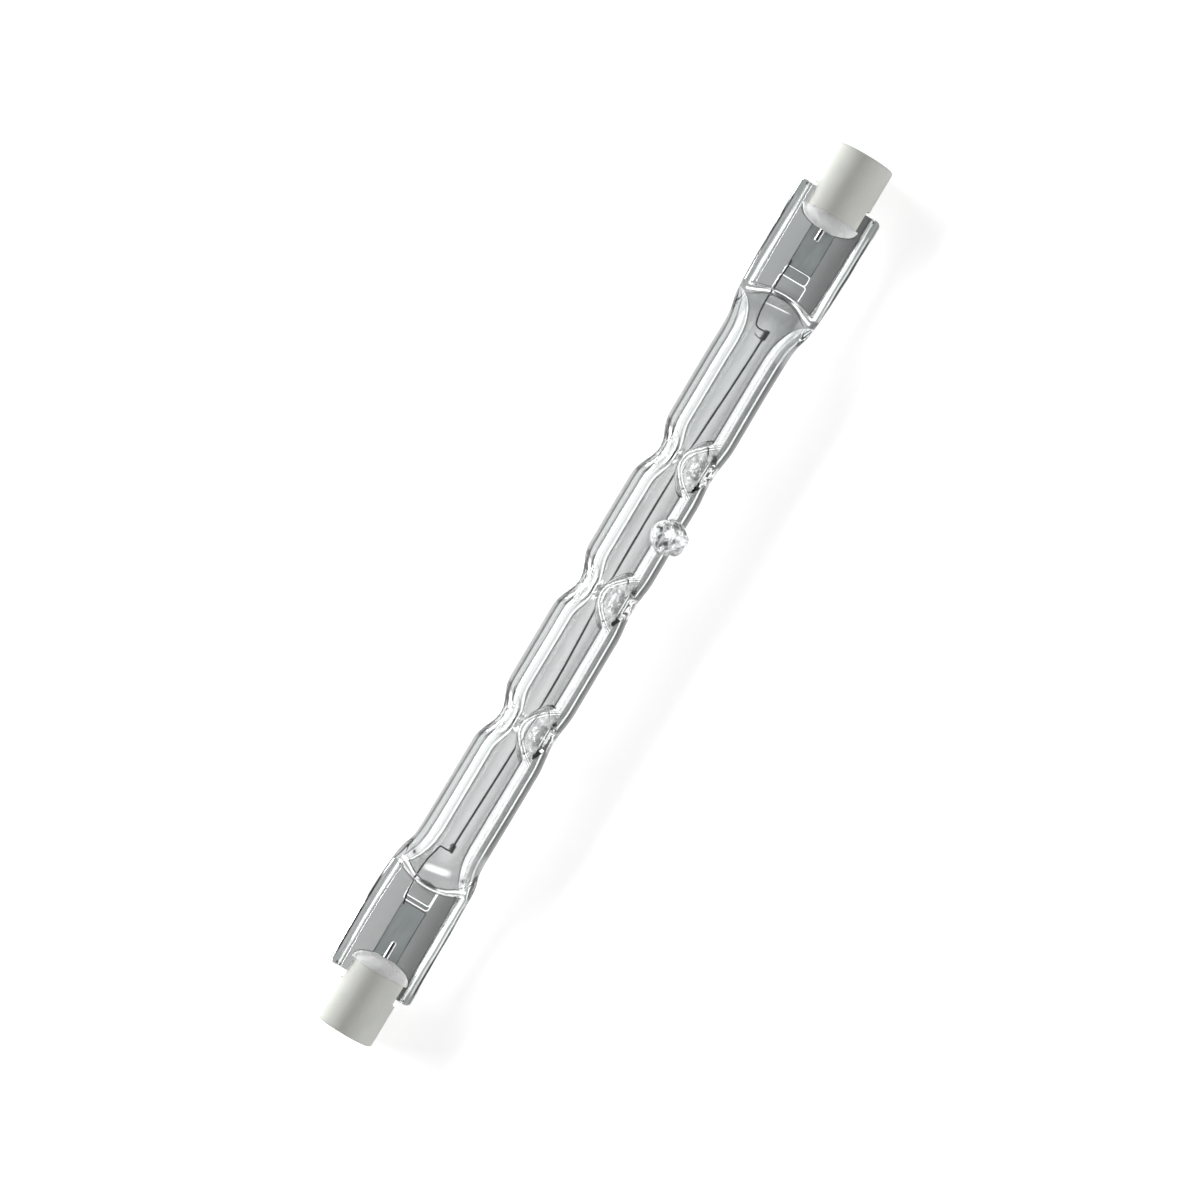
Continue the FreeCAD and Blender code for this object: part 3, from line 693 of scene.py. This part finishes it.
def ramp(tree, factor, stops):
    # straight steps between stops (place, colour or grey)
    made = node(tree, "ValToRGB", None, Fac=factor)
    bar = made.color_ramp
    for k, (at, colour) in enumerate(stops):
        stop = bar.elements[k] if k < 2 else bar.elements.new(at)
        stop.position = at
        stop.color = (*colour, 1) if isinstance(colour, tuple) else (colour, colour, colour, 1)
    return made.outputs["Color"]


def span(tree, value, low, high):
    # 0 at low and 1 at high, smooth between
    settings = {"interpolation_type": "SMOOTHSTEP"}
    return node(tree, "MapRange", settings, _0=value, _1=low, _2=high).outputs[0]


def effect(name, inputs, outputs):
    # a shared effect: a node group with number inputs and number outputs
    tree = bpy.data.node_groups.new(name, "ShaderNodeTree")
    for key, value in inputs.items():
        tree.interface.new_socket(key, in_out="INPUT", socket_type="NodeSocketFloat").default_value = value
    for key in outputs:
        tree.interface.new_socket(key, in_out="OUTPUT", socket_type="NodeSocketFloat")
    return tree, tree.nodes.new("NodeGroupInput").outputs, tree.nodes.new("NodeGroupOutput").inputs


def use(tree, group, **inputs):
    made = tree.nodes.new("ShaderNodeGroup")
    made.node_tree = group
    for key, value in inputs.items():
        feed(tree, value, made.inputs[key])
    return made.outputs


def lampSpotEffect():
    # the place on the lamp in millimetres: along it, across its own wandering axis, and square to the seals
    tree, _, outputs = effect("lampSpot", {}, ["Along", "Across", "Up"])
    spot = node(tree, "TexCoord").outputs["Object"]
    x, p, q = (node(tree, "VectorMath", {"operation": "DOT_PRODUCT"}, _0=spot,
                    _1=tuple(1000.0 * value for value in axis)).outputs["Value"] for axis in lampAxes)
    first, length = swayAt[0], swayAt[-1] - swayAt[0]
    sway = ramp(tree, maths(tree, "MULTIPLY_ADD", x, 1 / length, 0.5),
                [((at - first) / length, by + 0.5) for at, by in zip(swayAt, swayBy)])
    tree.links.new(x, outputs["Along"])
    tree.links.new(maths(tree, "ADD", maths(tree, "SUBTRACT", p, sway), 0.5), outputs["Across"])
    tree.links.new(q, outputs["Up"])
    return tree


def streaksEffect():
    # noise drawn out along the lamp: Scale per millimetre across it, Stretch times longer along it
    tree, inputs, outputs = effect("streaks", {"Scale": 1.0, "Stretch": 1.0, "Detail": 2.0}, ["Value"])
    spot = use(tree, lampSpot)
    squeezed = maths(tree, "DIVIDE", spot["Along"], inputs["Stretch"])
    vector = node(tree, "CombineXYZ", None, X=squeezed, Y=spot["Across"], Z=spot["Up"]).outputs[0]
    noise = node(tree, "TexNoise", None, Vector=vector, Scale=inputs["Scale"], Detail=inputs["Detail"])
    tree.links.new(noise.outputs[0], outputs["Value"])
    return tree


def roundedBoxEffect():
    # signed distance in millimetres to the outline of a rounded box round (MidX, MidP)
    tree, inputs, outputs = effect("roundedBox", {
        "X": 0.0, "P": 0.0, "MidX": 0.0, "MidP": 0.0, "HalfX": 1.0, "HalfP": 1.0, "Round": 0.3}, ["Value"])
    beyond = []
    for at, middle, half in (("X", "MidX", "HalfX"), ("P", "MidP", "HalfP")):
        away = maths(tree, "ABSOLUTE", maths(tree, "SUBTRACT", inputs[at], inputs[middle]))
        beyond.append(maths(tree, "ADD", maths(tree, "SUBTRACT", away, inputs[half]), inputs["Round"]))
    outside = [maths(tree, "MAXIMUM", value, 0.0) for value in beyond]
    far = maths(tree, "SQRT", maths(tree, "ADD", maths(tree, "MULTIPLY", outside[0], outside[0]),
                                    maths(tree, "MULTIPLY", outside[1], outside[1])))
    inside = maths(tree, "MINIMUM", maths(tree, "MAXIMUM", *beyond), 0.0)
    value = maths(tree, "SUBTRACT", maths(tree, "ADD", far, inside), inputs["Round"])
    tree.links.new(value, outputs["Value"])
    return tree


lampSpot = lampSpotEffect()
streaks = streaksEffect()
roundedBox = roundedBoxEffect()

# painted shade and painted highlights on the quartz, standing in for what it lets through of the white
# ground
# and what it refracts, as (mm, part): across the lamp for the bore, the web, the hollows and the shoulders,
# out from the axis for the painted bands above and below it and for the rails. reach says where the bands
# start along the shoulders, and pinched where they move to at the stations.
paintedQuartzLight = {
    "deep": 0.65,
    "bore": [(-2.0, 0.19), (-1.3, 0.235), (-0.8, 0.36), (-0.4, 0.46), (0.25, 0.51), (0.8, 0.39),
             (1.2, 0.30), (2.0, 0.25)],
    "web": [(-4.0, 0.02), (-3.4, 0.021), (-2.6, 0.033), (-1.0, 0.066), (0.4, 0.095), (2.5, 0.14),
            (4.0, 0.155)],
    "hollow": [(-3.0, 0.09), (-2.4, 0.055), (-1.6, 0.11), (-0.8, 0.20), (0.2, 0.38)],
    "shoulderLeft": [(-4.0, 0.10), (-2.4, 0.17), (0.0, 0.17), (2.6, 0.18), (4.0, 0.20)],
    "shoulderRight": [(-4.0, 0.038), (-2.4, 0.052), (0.0, 0.115), (2.6, 0.135), (4.0, 0.15)],
    "above": [(1.80, 1.0), (2.02, 0.89), (2.10, 0.5), (2.20, 0.5), (2.28, 0.75), (2.99, 0.75), (3.07, 0.10),
              (3.19, 0.10), (3.28, 0.42), (3.74, 0.46), (3.82, 0.02), (3.98, 0.02), (4.05, 0.20),
              (4.32, 0.17), (4.37, 0.05)],
    "below": [(1.80, 1.0), (2.05, 0.89), (2.45, 0.89), (2.55, 0.6), (2.66, 0.6), (2.74, 0.89), (2.87, 0.89),
              (3.00, 0.10), (3.50, 0.08), (3.56, 0.95), (3.67, 0.95), (3.75, 0.01), (4.20, 0.03),
              (4.37, 0.0)],
    "reach": [(32.0, 1.83), (34.0, 1.95), (35.0, 2.15), (36.0, 2.5), (37.0, 2.95), (37.7, 3.5), (38.3, 4.3),
              (38.7, 5.8)],
    "pinched": [(0.0, 0.0), (0.9, 1.2), (1.22, 1.9), (1.4, 2.08), (1.56, 2.26), (2.95, 3.06), (3.15, 3.3),
                (4.37, 4.37)],
    "railAbove": [(3.9, 0.17), (4.03, 0.10), (4.12, 0.55), (4.17, 1.0), (4.30, 0.9), (4.40, 0.2),
                  (4.62, 0.09), (4.80, 0.18), (4.92, 0.14), (5.0, 0.06), (5.05, 0.0), (5.22, 0.0),
                  (5.27, 0.25), (5.34, 0.9)],
    "railBelow": [(3.9, 0.027), (4.09, 0.02), (4.16, 0.95), (4.45, 1.0), (4.55, 0.45), (4.63, 0.08),
                  (4.74, 0.12), (4.86, 0.65), (4.95, 0.35), (5.02, 0.0), (5.17, 0.0), (5.25, 0.3),
                  (5.34, 0.9)],
}


def acrossRamp(tree, value, stops, tint=(0.94, 1.0, 1.0)):
    # a ramp whose stops are places in millimetres and values that a tint colours
    low, high = stops[0][0], stops[-1][0]
    spread = maths(tree, "DIVIDE", maths(tree, "SUBTRACT", value, low), high - low)
    return ramp(tree, spread, [((at - low) / (high - low), tuple(min(1.0, by * part) for part in tint))
                               for at, by in stops])


def toneRamp(tree, value, stops, tint=(0.94, 1.0, 1.0)):
    # the same for the quartz's painted shade, whose greys are deepened for the brightness of the ground
    deepened = [(at, by * (paintedQuartzLight["deep"] if by < 0.9 else 1.0)) for at, by in stops]
    return acrossRamp(tree, value, deepened, tint)


def quartzWithPaintedLight(tone):
    # clear quartz against a white ground, with light and shade painted into its colour: painted grey shade
    # where it is looked at squarely, painted bright bands where it turns away, and thin painted dark lines
    # where the tube's bore and edge draw them. Only the first surface that a look meets is painted, so that
    # what lies behind it stays clear.
    material, tree, shader = newMaterial("quartzWithPaintedLight", **{
        "Roughness": 0.0, "IOR": 1.46, "Transmission Weight": 1.0})
    radius, spacing = lamp["tubeRadius"], quartz["stations"][-1]
    # dark is the painted shade's colour; clear is untinted glass, which the painted bright lines also use
    dark, clear = (0.0, 0.0, 0.0, 1), (1, 1, 1, 1)

    def calc(operation, *values):
        return maths(tree, operation, *values)

    def minus(a, b):
        return calc("SUBTRACT", a, b)

    def times(product, *others):
        for other in others:
            product = calc("MULTIPLY", product, other)
        return product

    def squared(value, scale):
        part = calc("DIVIDE", value, scale)
        return calc("MINIMUM", 1.0, times(part, part))

    def edge(value, low, high):
        return span(tree, value, low, high)

    def band(value, half, soft=0.05):
        return edge(calc("ABSOLUTE", value), half + soft, half)

    def bySide(left, right):
        return calc("MULTIPLY_ADD", side, (right - left) / 2, (left + right) / 2)

    def noise(scale, stretch, detail=2.0):
        return use(tree, streaks, Scale=scale, Stretch=stretch, Detail=detail)["Value"]

    def tones(value, name, *tint):
        return toneRamp(tree, value, tone[name], *tint)

    def table(value, stops, most):
        return times(most, acrossRamp(tree, value, [(at, by / most) for at, by in stops], (1, 1, 1)))

    def paint(under, colour, *masks):
        # colour laid over what is under it, as far as all the masks allow
        return blend(tree, times(*masks), under, colour)

    spot = use(tree, lampSpot)
    x, p, q = spot["Along"], spot["Across"], spot["Up"]
    distance, off, side = calc("ABSOLUTE", x), calc("ABSOLUTE", p), calc("SIGN", x)

    # how far across the tube a look meets it, from 0 to its radius, by the directions out of its axis and
    # round it; the painted bands dip at the pressing stations and fan out over the shoulders
    toward = []
    for partP, partQ in ((p, q), (times(q, -1.0), p)):
        steps = [node(tree, "VectorMath", {"operation": "SCALE"}, _0=tuple(axis), Scale=part).outputs[0]
                 for axis, part in ((axisP, partP), (axisQ, partQ))]
        way = node(tree, "VectorMath", {"operation": "ADD"}, _0=steps[0], _1=steps[1]).outputs[0]
        way = node(tree, "VectorMath", {"operation": "NORMALIZE"}, _0=way).outputs[0]
        toward.append(minus(1.0, node(tree, "LayerWeight", None, Blend=0.5, Normal=way).outputs["Facing"]))
    size = calc("ADD", times(toward[0], toward[0]), times(toward[1], toward[1]))
    across = times(radius, calc("DIVIDE", toward[1], calc("SQRT", calc("ADD", 0.000001, size))))
    station = calc("MINIMUM", distance, calc("ABSOLUTE", minus(distance, spacing)))
    waist, upper = edge(station, quartz["waistHalf"], 0.4), edge(p, -0.2, 0.2)
    dipped = table(across, tone["pinched"], radius)
    across = calc("MULTIPLY_ADD", minus(dipped, across), times(waist, upper), across)
    reach = table(minus(distance, bySide(0.3, 0.0)), tone["reach"], 6.0)
    width = calc("MULTIPLY_ADD", edge(distance, 33.5, 39.5), 0.75, radius)
    fanned = calc("DIVIDE", times(minus(off, reach), 2.52), calc("MAXIMUM", 0.3, minus(width, reach)))
    onShoulder = edge(distance, 32.6, 33.6)
    across = calc("MULTIPLY_ADD", minus(calc("ADD", fanned, 1.85), across), onShoulder, across)
    across = calc("MULTIPLY_ADD", minus(noise(0.9, 14.0), 0.5), 0.22, across)

    # the tube: a painted grey zone of shade over its bore and shoulders with a thin painted dark edge, and
    # painted bright bands and dark lines beside it, with painted shade low on the shoulders
    shoulder = paint(tones(p, "shoulderLeft"), tones(p, "shoulderRight"), edge(x, -1.0, 1.0))
    grey = paint(tones(p, "bore", (0.72, 0.76, 0.755)), shoulder, edge(distance, 34.0, 38.0))
    within = calc("MULTIPLY_ADD", minus(1.0, upper), -0.12, across)
    grey = paint(grey, dark, edge(within, 1.56, 1.66), 0.72)
    tube = paint(tones(across, "below"), tones(across, "above"), upper)
    tube = paint(tube, grey, edge(within, 1.86, 1.80))
    # painted shade, darker low on the shoulders
    tube = paint(tube, (0.16, 0.17, 0.17, 1), onShoulder, edge(p, -2.7, -3.2), edge(p, -4.5, -4.1), 0.55)
    # a painted dark line over the waists, above the middle
    tube = paint(tube, dark, band(minus(across, 2.2), 0.08, 0.07), waist, upper)

    # the pressing stations: a pressed hollow below the middle is an arch with a painted double outline of
    # dark and bright lines, painted grey shade with painted bright glints and dark specks; above it lie
    # small crumpled folds, marked with painted bright and dark lines
    near = minus(distance, times(calc("ROUND", calc("DIVIDE", distance, spacing)), spacing))
    atStation, beside = edge(distance, 26.0, 25.9), calc("ABSOLUTE", near)
    arch = calc("ADD", p, calc("MULTIPLY_ADD", times(near, near), 0.24, 0.02))
    low = times(atStation, edge(p, -2.95, -2.85))
    # speck places the painted glints and dark specks
    speck = noise(2.8, 1.5, 4.0)
    inside = paint(acrossRamp(tree, p, tone["hollow"]), (0.38, 0.40, 0.40, 1), edge(beside, 1.0, 1.7), 0.6)
    inside = paint(inside, clear, edge(speck, 0.54, 0.66), 0.35)
    inside = paint(inside, dark, edge(speck, 0.42, 0.36), 0.4)
    tube = paint(tube, inside, edge(arch, -0.02, -0.08), low)
    for at, colour, much in ((0.50, dark, 0.45), (0.30, clear, 0.9), (0.07, dark, 0.8), (-0.16, clear, 0.9),
                             (-0.36, dark, 0.5)):
        tube = paint(tube, colour, band(minus(arch, at), 0.05, 0.07), low, much)
    folded = times(atStation, edge(beside, 1.5, 0.9))
    knot = times(folded, edge(p, 0.25, 0.45), edge(p, 1.15, 0.95))
    tube = paint(tube, dark, knot, edge(speck, 0.46, 0.41), 0.75)
    tube = paint(tube, clear, knot, edge(speck, 0.53, 0.58))
    tube = paint(tube, clear, folded, edge(p, 1.5, 1.7), edge(speck, 0.56, 0.64))
    for at, colour in ((2.47, clear), (2.68, dark), (2.88, clear), (-2.7, clear), (-2.85, dark),
                       (-3.0, clear)):
        tube = paint(tube, colour, band(minus(p, at), 0.04), folded, 0.8)
    tube = paint(tube, clear, folded, edge(p, -3.05, -3.2), edge(speck, 0.48, 0.54))

    # the filling stub: painted pale grey shade, with small painted highlights and painted dark shade in its
    # folds
    axisAway = calc("SQRT", calc("ADD", times(p, p), times(q, q)))
    stub = times(band(minus(x, 9.4), 3.2), edge(axisAway, 4.45, 4.6))
    folds = noise(1.6, 1.0, 5.0)
    pale = paint((0.50, 0.54, 0.54, 1), clear, edge(folds, 0.50, 0.60))
    tube = paint(tube, paint(pale, (0.01, 0.012, 0.012, 1), edge(folds, 0.43, 0.37)), stub)

    # the flat seals: a painted grey web, painted bright and dark lines along the rails, and painted shade
    # where the rails end
    wobble = calc("MULTIPLY_ADD", minus(noise(0.8, 6.0), 0.5), 0.35, off)
    rails = paint(tones(wobble, "railBelow"), tones(wobble, "railAbove"), edge(p, -0.3, 0.3))
    # painted dark streaks along the rails
    rails = paint(rails, (0.06, 0.07, 0.07, 1), edge(noise(3.4, 9.0, 3.0), 0.55, 0.68), 0.6)
    # painted shade where the rails end
    ended = edge(distance, bySide(50.6, 50.4), bySide(51.6, 51.0))
    rails = paint(rails, (0.055, 0.065, 0.065, 1), ended, edge(off, 4.35, 4.5), 0.85)
    seal = paint(tones(p, "web"), rails, edge(off, 4.03, 4.09))

    # clear over the foil, with a painted dark line along its edges
    foilEnd, over = bySide(foil["inner"][-1], foil["inner"][1]), minus(p, bySide(-0.1, 0.03))
    onFoil = edge(distance, foilEnd, calc("ADD", foilEnd, 0.1))
    seal = paint(seal, clear, onFoil, band(over, 1.43))
    seal = paint(seal, dark, onFoil, band(minus(calc("ABSOLUTE", over), foil["half"]), 0.05), 0.75)

    # gaps that the pressing left beside the foil's end: painted bright outlines, the outer one painted dark
    # inside
    outerBox = use(tree, roundedBox, X=x, P=p, MidX=bySide(-40.6, 42.85), MidP=bySide(0.0, 0.05),
                   HalfX=bySide(1.37, 0.66), HalfP=bySide(1.63, 1.55), Round=0.4)["Value"]
    innerBox = use(tree, roundedBox, X=x, P=p, MidX=bySide(-40.25, 41.0), MidP=bySide(0.0, 0.02),
                   HalfX=bySide(1.15, 1.2), HalfP=bySide(1.5, 1.72), Round=0.3)["Value"]
    seal = paint(seal, (0.022, 0.026, 0.026, 1), edge(outerBox, 0.0, -0.06), edge(innerBox, 0.0, 0.06), 0.8)
    for box in (outerBox, innerBox):
        seal = paint(seal, clear, band(box, 0.035), 0.8)

    # the arcs where the thick shoulder drops to the web, painted as bright lines, the painted dark lens
    # inside them, fainter painted bright ones behind and a painted dark line beside them
    bow = times(bySide(lamp["arcSag"][-1], lamp["arcSag"][1]), squared(p, 4.0))
    past = minus(calc("ADD", distance, bow), bySide(39.5, 40.25))
    colour = paint(tube, seal, edge(past, -0.04, 0.04))
    lensEdge = calc("ADD", calc("MULTIPLY_ADD", times(p, p), -0.36, 0.8), past)
    colour = paint(colour, (0.012, 0.014, 0.014, 1), edge(past, -0.05, -0.14), edge(lensEdge, 0.0, 0.08))
    second = calc("ADD", past, calc("MULTIPLY_ADD", squared(p, 3.0), 0.4, 0.2))
    second = times(band(second, 0.1, 0.08), edge(off, 1.0, 1.6))
    third = minus(calc("MULTIPLY_ADD", p, bySide(-0.2, 0.1), distance), bySide(37.05, 38.4))
    third = times(edge(calc("ABSOLUTE", third), bySide(0.62, 0.14), bySide(0.0, 0.02)),
                  edge(off, 1.9, 0.7), bySide(0.9, 0.5))
    inSeal = edge(off, 4.35, 4.2)
    arcs = times(calc("MAXIMUM", band(past, 0.09, 0.08), second), inSeal)
    arcs = calc("MAXIMUM", arcs, third)
    colour = paint(colour, clear, arcs)
    colour = paint(colour, dark, band(minus(calc("ABSOLUTE", past), 0.24), 0.02), inSeal, 0.5)

    # painted shade: the right half is a little deeper in tone
    deeper = times(edge(x, 12.0, 30.0), minus(1.0, arcs), 0.9)
    colour = blend(tree, deeper, colour, (0.84, 0.86, 0.86, 1), "MULTIPLY")
    # the painted shade and highlights go only on what camera rays meet first; deeper looks see untinted
    # glass
    first = node(tree, "LightPath").outputs["Is Camera Ray"]
    feed(tree, paint(clear, colour, first), shader.inputs["Base Color"])
    bump = node(tree, "Bump", None, Strength=times(stub, 0.9), Distance=0.0004, Height=noise(2.4, 1.0, 4.0))
    feed(tree, bump.outputs["Normal"], shader.inputs["Normal"])
    return material


powders = {
    "capCeramic": {"light": (0.74, 0.75, 0.71), "deep": (0.69, 0.70, 0.66), "grain": 9.0, "relief": 0.25,
                   "inputs": {"Roughness": 0.6}},
    "capCement": {"light": (0.98, 0.99, 0.99), "deep": (0.92, 0.94, 0.94), "grain": 3.5, "relief": 0.6,
                  "inputs": {"Roughness": 0.75, "Subsurface Weight": 0.8, "Subsurface Scale": 0.0015,
                             "Subsurface Radius": (1.0, 1.0, 1.0)}},
}


def mattePowder(name, look):
    # fired ceramic or set cement: pale, a little mottled, with fine grain
    material, tree, shader = newMaterial(name, **look["inputs"])
    fine = use(tree, streaks, Scale=look["grain"], Stretch=1.0, Detail=5.0)["Value"]
    broad = use(tree, streaks, Scale=0.55, Stretch=1.6, Detail=2.0)["Value"]
    mottled = maths(tree, "ADD", span(tree, fine, 0.25, 0.75), span(tree, broad, 0.3, 0.7))
    colour = blend(tree, maths(tree, "MULTIPLY", mottled, 0.5), (*look["deep"], 1), (*look["light"], 1))
    feed(tree, colour, shader.inputs["Base Color"])
    bump = node(tree, "Bump", None, Strength=look["relief"], Distance=0.0002, Height=fine)
    feed(tree, bump.outputs["Normal"], shader.inputs["Normal"])
    return material


# face and edge are the colours where a metal is looked at squarely and where it turns away past turn; an
# edge brighter than the face is a painted sheen, and the lead wire's black face between white edges is a
# painted reflection
metals = {
    "contactSteel": {"face": (0.6, 0.59, 0.57), "edge": (0.6, 0.59, 0.57), "turn": (0.4, 0.6),
                     "scale": 6.0, "stretch": 1.0, "roughness": 0.35, "contrast": 0.25},
    "leadWire": {"face": (0.012, 0.012, 0.012), "edge": (1.0, 1.0, 1.0), "turn": (0.07, 0.16),
                 "scale": 5.0, "stretch": 10.0, "roughness": 0.35, "contrast": 0.25},
    "sealFoil": {"face": (0.265, 0.29, 0.29), "edge": (0.335, 0.36, 0.36), "turn": (0.4, 0.6),
                 "scale": 2.2, "stretch": 5.0, "roughness": 0.5, "contrast": 0.1},
    "coilWire": {"face": (0.035, 0.035, 0.038), "edge": (0.10, 0.10, 0.105), "turn": (0.4, 0.8),
                 "scale": 6.0, "stretch": 1.0, "roughness": 0.5, "contrast": 0.25},
}


def drawnMetal(name, look):
    # metal with marks drawn out along it, which change its brightness and its gloss, and with a painted
    # sheen where it turns away
    material, tree, shader = newMaterial(name, **{"Metallic": 1.0})
    marks = use(tree, streaks, Scale=look["scale"], Stretch=look["stretch"], Detail=3.0)["Value"]
    # painted sheen: the face colour turns to the edge colour where the metal turns away from a look
    facing = node(tree, "LayerWeight", None, Blend=0.5).outputs["Facing"]
    colour = blend(tree, span(tree, facing, *look["turn"]), (*look["face"], 1), (*look["edge"], 1))
    low, high = 1 - look["contrast"], 1 + look["contrast"]
    worn = blend(tree, span(tree, marks, 0.35, 0.7), (low, low, low, 1), (high, high, high, 1))
    feed(tree, blend(tree, 1.0, colour, worn, "MULTIPLY"), shader.inputs["Base Color"])
    rough = maths(tree, "MULTIPLY_ADD", marks, 0.25, look["roughness"] - 0.12)
    feed(tree, rough, shader.inputs["Roughness"])
    bump = node(tree, "Bump", None, Strength=0.25, Distance=0.00005, Height=marks)
    feed(tree, bump.outputs["Normal"], shader.inputs["Normal"])
    return material


quartzInside = newMaterial("quartzBore", **{
    "Base Color": (1, 1, 1, 1), "Roughness": 0.0, "IOR": 1.46, "Transmission Weight": 1.0})[0]
dress("quartzEnvelope", quartzWithPaintedLight(paintedQuartzLight))
dress("quartzEnvelope", quartzInside)
finishes = {name: mattePowder(name, look) for name, look in powders.items()}
finishes.update({name: drawnMetal(name, look) for name, look in metals.items()})
wears = {"cap": "capCeramic", "cement": "capCement", "button": "contactSteel", "outerLead": "leadWire",
         "foil": "sealFoil", "innerLead": "coilWire", "sleeve": "coilWire"}
for word in sides.values():
    for piece, finish in wears.items():
        dress(piece + word.title(), finishes[finish])
dress("filamentCoil", finishes["coilWire"])
print("materials done")


studio = {"floorSize": 3.0, "floorGlow": 0.81, "floorTone": 0.5, "world": 0.115, "ground": 1.0}


def addFloor(size):
    low = cadBox[0][2]
    half = size["floorSize"] / 2
    mesh = bpy.data.meshes.new("floor")
    mesh.from_pydata([(-half, -half, low), (half, -half, low), (half, half, low), (-half, half, low)], [],
                     [(0, 1, 2, 3)])
    floor = bpy.data.objects.new("floor", mesh)
    scene.collection.objects.link(floor)
    material = bpy.data.materials.new("floorWhite")
    material.use_nodes = True
    tree = material.node_tree
    tree.nodes.clear()
    output = tree.nodes.new("ShaderNodeOutputMaterial")
    add = tree.nodes.new("ShaderNodeAddShader")
    glow = tree.nodes.new("ShaderNodeEmission")
    matte = tree.nodes.new("ShaderNodeBsdfDiffuse")
    matte.inputs["Color"].default_value = (*[size["floorTone"]] * 3, 1)
    # the glow is what looks, reflections and looks through glass see; the light on the lamp has none of it
    path = node(tree, "LightPath").outputs
    seen = maths(tree, "MAXIMUM", path["Is Glossy Ray"], path["Is Transmission Ray"])
    seen = maths(tree, "MAXIMUM", path["Is Camera Ray"], seen)
    tree.links.new(maths(tree, "MULTIPLY", seen, size["floorGlow"]), glow.inputs["Strength"])
    tree.links.new(glow.outputs[0], add.inputs[0])
    tree.links.new(matte.outputs[0], add.inputs[1])
    tree.links.new(add.outputs[0], output.inputs["Surface"])
    mesh.materials.append(material)


lights = {
    "keyLight": {"power": 12.2, "spread": (1.0, 0.26), "spot": (0.0, 0.70, 0.38)},
    "lowLight": {"power": 3.0, "spread": (1.0, 0.12), "spot": (0.0, -0.7, 0.06)},
}


def addAreaLight(name, power, spread, spot):
    # a soft rectangle that faces the lamp's middle
    data = bpy.data.lights.new(name, "AREA")
    data.shape = "RECTANGLE"
    data.size, data.size_y = spread
    data.energy = power
    light = bpy.data.objects.new(name, data)
    light.location = spot
    light.rotation_euler = (-Vector(spot)).to_track_quat("-Z", "Y").to_euler()
    # the fine lines on the quartz are painted, so the lamps are kept out of its reflections
    light.visible_glossy = False  # its mirror image would hide the fine lines on the quartz
    scene.collection.objects.link(light)


def addWorld(size):
    # pale all round to a look or through glass, and much weaker as a light
    world = bpy.data.worlds.new("studioWorld")
    scene.world = world
    world.use_nodes = True
    tree = world.node_tree
    background = tree.nodes["Background"]
    background.inputs["Color"].default_value = (1, 1, 1, 1)
    path = node(tree, "LightPath").outputs
    outer = maths(tree, "MULTIPLY", path["Is Glossy Ray"], maths(tree, "LESS_THAN", path["Ray Depth"], 1.5))
    weak = maths(tree, "MAXIMUM", path["Is Diffuse Ray"], outer)
    strength = node(tree, "MapRange", None, _0=weak, _3=size["ground"], _4=size["world"]).outputs[0]
    feed(tree, strength, background.inputs["Strength"])


addFloor(studio)
for name, light in lights.items():
    addAreaLight(name, **light)
addWorld(studio)
print("floor, lights and world done")
scene.view_settings.view_transform = "Standard"
